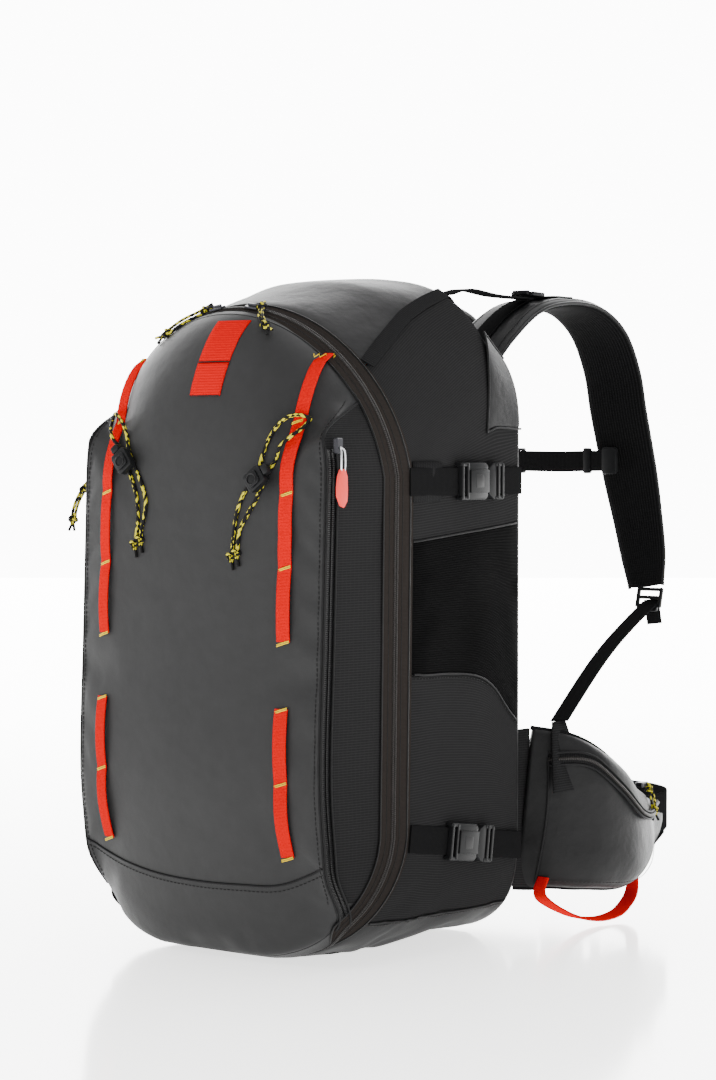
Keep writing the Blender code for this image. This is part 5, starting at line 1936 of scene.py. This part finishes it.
def make_wings():
    for side, hand in HANDS:
        body = f"wing_{hand}"
        line = wing_line(side)
        make_wing_pad(side, hand, line[:int(len(line) * WING_PADDED)], body)
        bare = line[int(len(line) * (WING_PADDED - 0.10)):]
        path, across = [row[0] for row in bare], [row[1] for row in bare]
        mesh = sweep(f"belt_webbing_{hand}", path, band_section(0.037, 0.0018), across)
        place(f"belt_webbing_{hand}", mesh, "webbing", body)
        make_hip_pocket(side, hand, line, body)
        make_belt_core(side, hand)
        rows = []
        for t in spaced(0.0, 1.0, 9):
            base = Vector((side * 0.1500, 0.2080, 0.1860)).lerp(wing_point(line, 0.10, 0.30, 0.0016), t)
            half = between(0.010, 0.024, t ** 0.8)
            rows.append([base + Vector((side * 0.0012, w * half, 0.0)) for w in (-1, -0.5, 0, 0.5, 1)])
        thicken(grid_piece(f"wing_anchor_{hand}", rows, (0, 0.2, 0.15), "webbing_grey", body), 0.0016)


def make_belt_core(side, hand):
    """Cloth that joins a wing to the back."""
    up = Vector((0, 0, 1))
    stops = [
        (Vector((side * 0.100, 0.1530, 0.108)), 0.060), (Vector((side * 0.118, 0.1600, 0.108)), 0.066),
        (Vector((side * 0.127, 0.1720, 0.108)), 0.071), (Vector((side * 0.1345, 0.1850, 0.108)), 0.072),
    ]
    rows = [[p + up * (v * half) for v in (-1, -0.6, -0.2, 0.2, 0.6, 1)] for p, half in stops]
    thing = grid_piece(f"belt_core_{hand}", rows, (0, 0.25, 0.1), "ripstop", None)
    thicken(thing, 0.0030)
    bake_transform(thing)


def make_hip_pocket(side, hand, line, body):
    """Pocket on the outside of a wing: its zip in an arc between two welts, its front seam and stitches."""
    arc = [(share, zip_height(share)) for share in spaced(0.055, 0.545, 49)]
    rows = []
    for share, v in arc:
        rows.append([wing_point(line, share, v + dv, 0.0010) for dv in (0.055, 0.02, -0.02, -0.055)])
    thicken(grid_piece(f"hip_zip_tape_{hand}", rows, (0, 0.26, 0.09), "webbing_grey", body), 0.0009)
    coil = [wing_point(line, share, v, 0.0018) for share, v in arc]
    tube(f"hip_zip_coil_{hand}", coil, 0.0030, "coil", body, 8)
    for name, dv in (("upper", 0.075), ("lower", -0.075)):
        edge = [wing_point(line, share, v + dv, 0.0010) for share, v in arc]
        tube(f"hip_zip_welt_{name}_{hand}", edge, 0.0022, "coated_dark", body, 8)
    low = zip(spaced(0.055, 0.54, 41), spaced(-0.90, -0.80, 41))
    outline = [wing_point(line, share, v, 0.0006) for share, v in low]
    stitch_row(f"hip_pocket_stitch_{hand}", outline, (side, 0, 0), "thread", body)
    heights = enumerate(spaced(-0.90, 0.66, 21))
    front = [wing_point(line, 0.055 + 0.010 * bulge(i, 20), v, 0.0008) for i, v in heights]
    tube(f"hip_pocket_seam_{hand}", front, 0.0022, "coated_dark", body, 8)


def make_belt_buckle():
    here = strap_frame((-0.036, BELT_Y - 0.006, BELT_Z), (0.0, BELT_Y - 0.006, BELT_Z), (0, 1, 0))
    side_release(
        "belt_clip", here, 0.048, 0.038, 0.032, 0.012, ("wing_left", "wing_right"),
        (("belt_buckle_female",), ("belt_buckle_male",)),
    )
    tail = [
        (0.040, BELT_Y + 0.003, BELT_Z), (0.060, BELT_Y + 0.0035, BELT_Z - 0.001),
        (0.085, BELT_Y - 0.004, BELT_Z - 0.003), (0.098, BELT_Y - 0.006, BELT_Z - 0.004),
    ]
    band("belt_tail_right", tail, (0, 0, 1), 0.036, 0.0016, "wing_right")


def make_gear_loop():
    """Red webbing loop under the right wing, with its ends sewn into the pocket's lower edge."""
    front_end = [(0.149, 0.186, 0.046), (0.149, 0.180, 0.036)]
    rear_end = [(0.166, 0.309, 0.032), (0.165, 0.309, 0.044)]
    path = smooth_route(front_end + GEAR_LOOP + rear_end, 8)
    first, last = Vector((1, 0.1, 0.25)), Vector((0.8, 0.0, -0.5))
    across = [first.lerp(last, share) for share in spaced(0.0, 1.0, len(path))]
    mesh = sweep("gear_webbing", path, band_section(0.0125, 0.0024), across)
    place("gear_webbing", mesh, "red_webbing", "wing_right", ("gear_loop",), "red_webbing")


# ---------------------------------------------------------------- back and top

def make_haul_loop():
    loop = [(0.035 * math.cos(a), 0.163, 0.522 + 0.0455 * math.sin(a)) for a in spaced(0.0, math.pi, 25)]
    mesh = sweep("haul_webbing", loop, band_section(0.020, 0.0016), [Vector((0, 1, 0))] * 25)
    place("haul_webbing", mesh, "webbing", "pack", ("haul_loop",), "webbing")
    for i, x in enumerate((-0.035, 0.035)):
        patch = [Vector((x, 0.163, 0.522 - 0.003 * k)) for k in range(5)]
        band(f"haul_anchor_{i}", patch, (0, 1, 0), 0.022, 0.0022, "pack")


def make_back_panel():
    """Back cloth, cut to the bag's outline, and six foam pads with channels between them."""
    outline = [body_column(side, region, t, 1.0) for side, region, t in body_ring()]
    rings = []
    for scale, y in BACK_RINGS:
        rings.append([Vector((p.x * scale, REAR_Y + y, between(0.268, p.z, scale))) for p in outline])
    thing = grid_piece(
        "back_cloth", rings, (0, 0, 0.26), "coated_dark", "pack", ("back_panel",), "mesh_foam", closed=True,
    )
    for side, hand in HANDS:
        for k, (low, high) in enumerate(PAD_HEIGHTS):
            rings = []
            for level, inset in PAD_RINGS:
                half_x, half_z = PAD_HALF_WIDTH - inset, (high - low) / 2 - inset
                centre = Vector((side * PAD_X, REAR_Y + level, (low + high) / 2))
                ring = squared_ring(48, 0.5, 0.5)
                rings.append([centre + Vector((u * half_x, 0.0, v * half_z)) for u, v in ring])
            name = f"back_pad_{k}_{hand}"
            thing = place(name, filled(grid_mesh(name, rings, closed=True)), "spacer_mesh", "pack")
            refine(thing)


def make_burst_flaps():
    """Covers that the airbag pushes open, on the upper rear corners, held shut by a hidden seam."""
    for side, hand in HANDS:
        body = f"flap_{hand}"
        rows = []
        for t, front_share in zip(spaced(0.60, 0.96, 13), spaced(0.80, 0.66, 13)):
            away = Vector((side * 0.9, 0.0, 0.35 * (0.96 - t) / 0.36)).normalized()
            row = []
            for share in spaced(front_share, 0.985, 9):
                point = bag_point(side, "arch", t, share)
                row.append(point + away * (0.0042 + rumpled(point, 0.0010, 0.03, 2.0)))
            rows.append(row)
        # The flaps take the darker copy of the coated cloth, which is painted shade.
        thing = grid_piece(
            f"flap_cloth_{hand}", rows, (0.0, 0.06, 0.3),
            ("coated_top_shaded", "lining"), body, (f"burst_flap_{hand}",), "coated_fabric",
        )
        thicken(thing, 0.0016, lined=True)
        refine(thing)
        edge = [row[0] + Vector((side * 0.0004, 0, 0)) for row in rows]
        tube(f"flap_edge_{hand}", edge, 0.0022, "coated_dark", body, 8)
        for name, line in (("low", rows[-1]), ("high", rows[0])):
            tube(f"flap_hem_{name}_{hand}", line, 0.0020, "coated_dark", body, 8)


def make_inside():
    """Finishes for the airbag system and frame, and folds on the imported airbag."""
    for node, material in (
        ("gas_cartridge", "dark_steel"), ("inflator_head", "aluminium"), ("firing_pin", "steel"),
        ("frame_sheet", "frame_plastic"), ("stay_right", "aluminium"), ("stay_left", "aluminium"),
    ):
        finish_node(node, material)
    rows = []
    for x in spaced(-0.099, 0.099, 41):
        end = 1 - 0.35 * eased(abs(x), 0.084, 0.100)
        row = []
        for u, v in squared_ring(40, 0.667, 0.667):
            fold = 0.94 + 0.05 * math.sin(v * 14 + 3 * noise.noise(Vector((x * 30, v, u))))
            row.append(Vector((x, 0.088 + u * 0.030 * end * fold, 0.515 + v * 0.028 * end)))
        rows.append(row)
    mesh = filled(grid_mesh("airbag_folds", rows, closed=True))
    thing = place("airbag_folds", mesh, "airbag_cloth", "pack", ("folded_airbag",), "airbag")
    refine(thing)
    finish_node("base_patch", "black_foam")


def main():
    make_materials()
    make_view()
    make_accessory_cords()
    make_pull_cords()
    make_trigger()
    panel = make_front_panel()
    make_gusset()
    make_main_zip()
    surface = make_fold_seams(panel)
    make_daisy_chains(surface)
    make_label(surface)
    make_pocket_zip()
    make_sliders()
    tree = make_rear_bag()
    make_bag_seams(tree)
    make_compression_straps(tree)
    make_shoulder_straps()
    make_sternum_strap()
    make_wings()
    make_belt_buckle()
    make_gear_loop()
    make_haul_loop()
    make_back_panel()
    make_burst_flaps()
    make_inside()
    make_stage()


main()
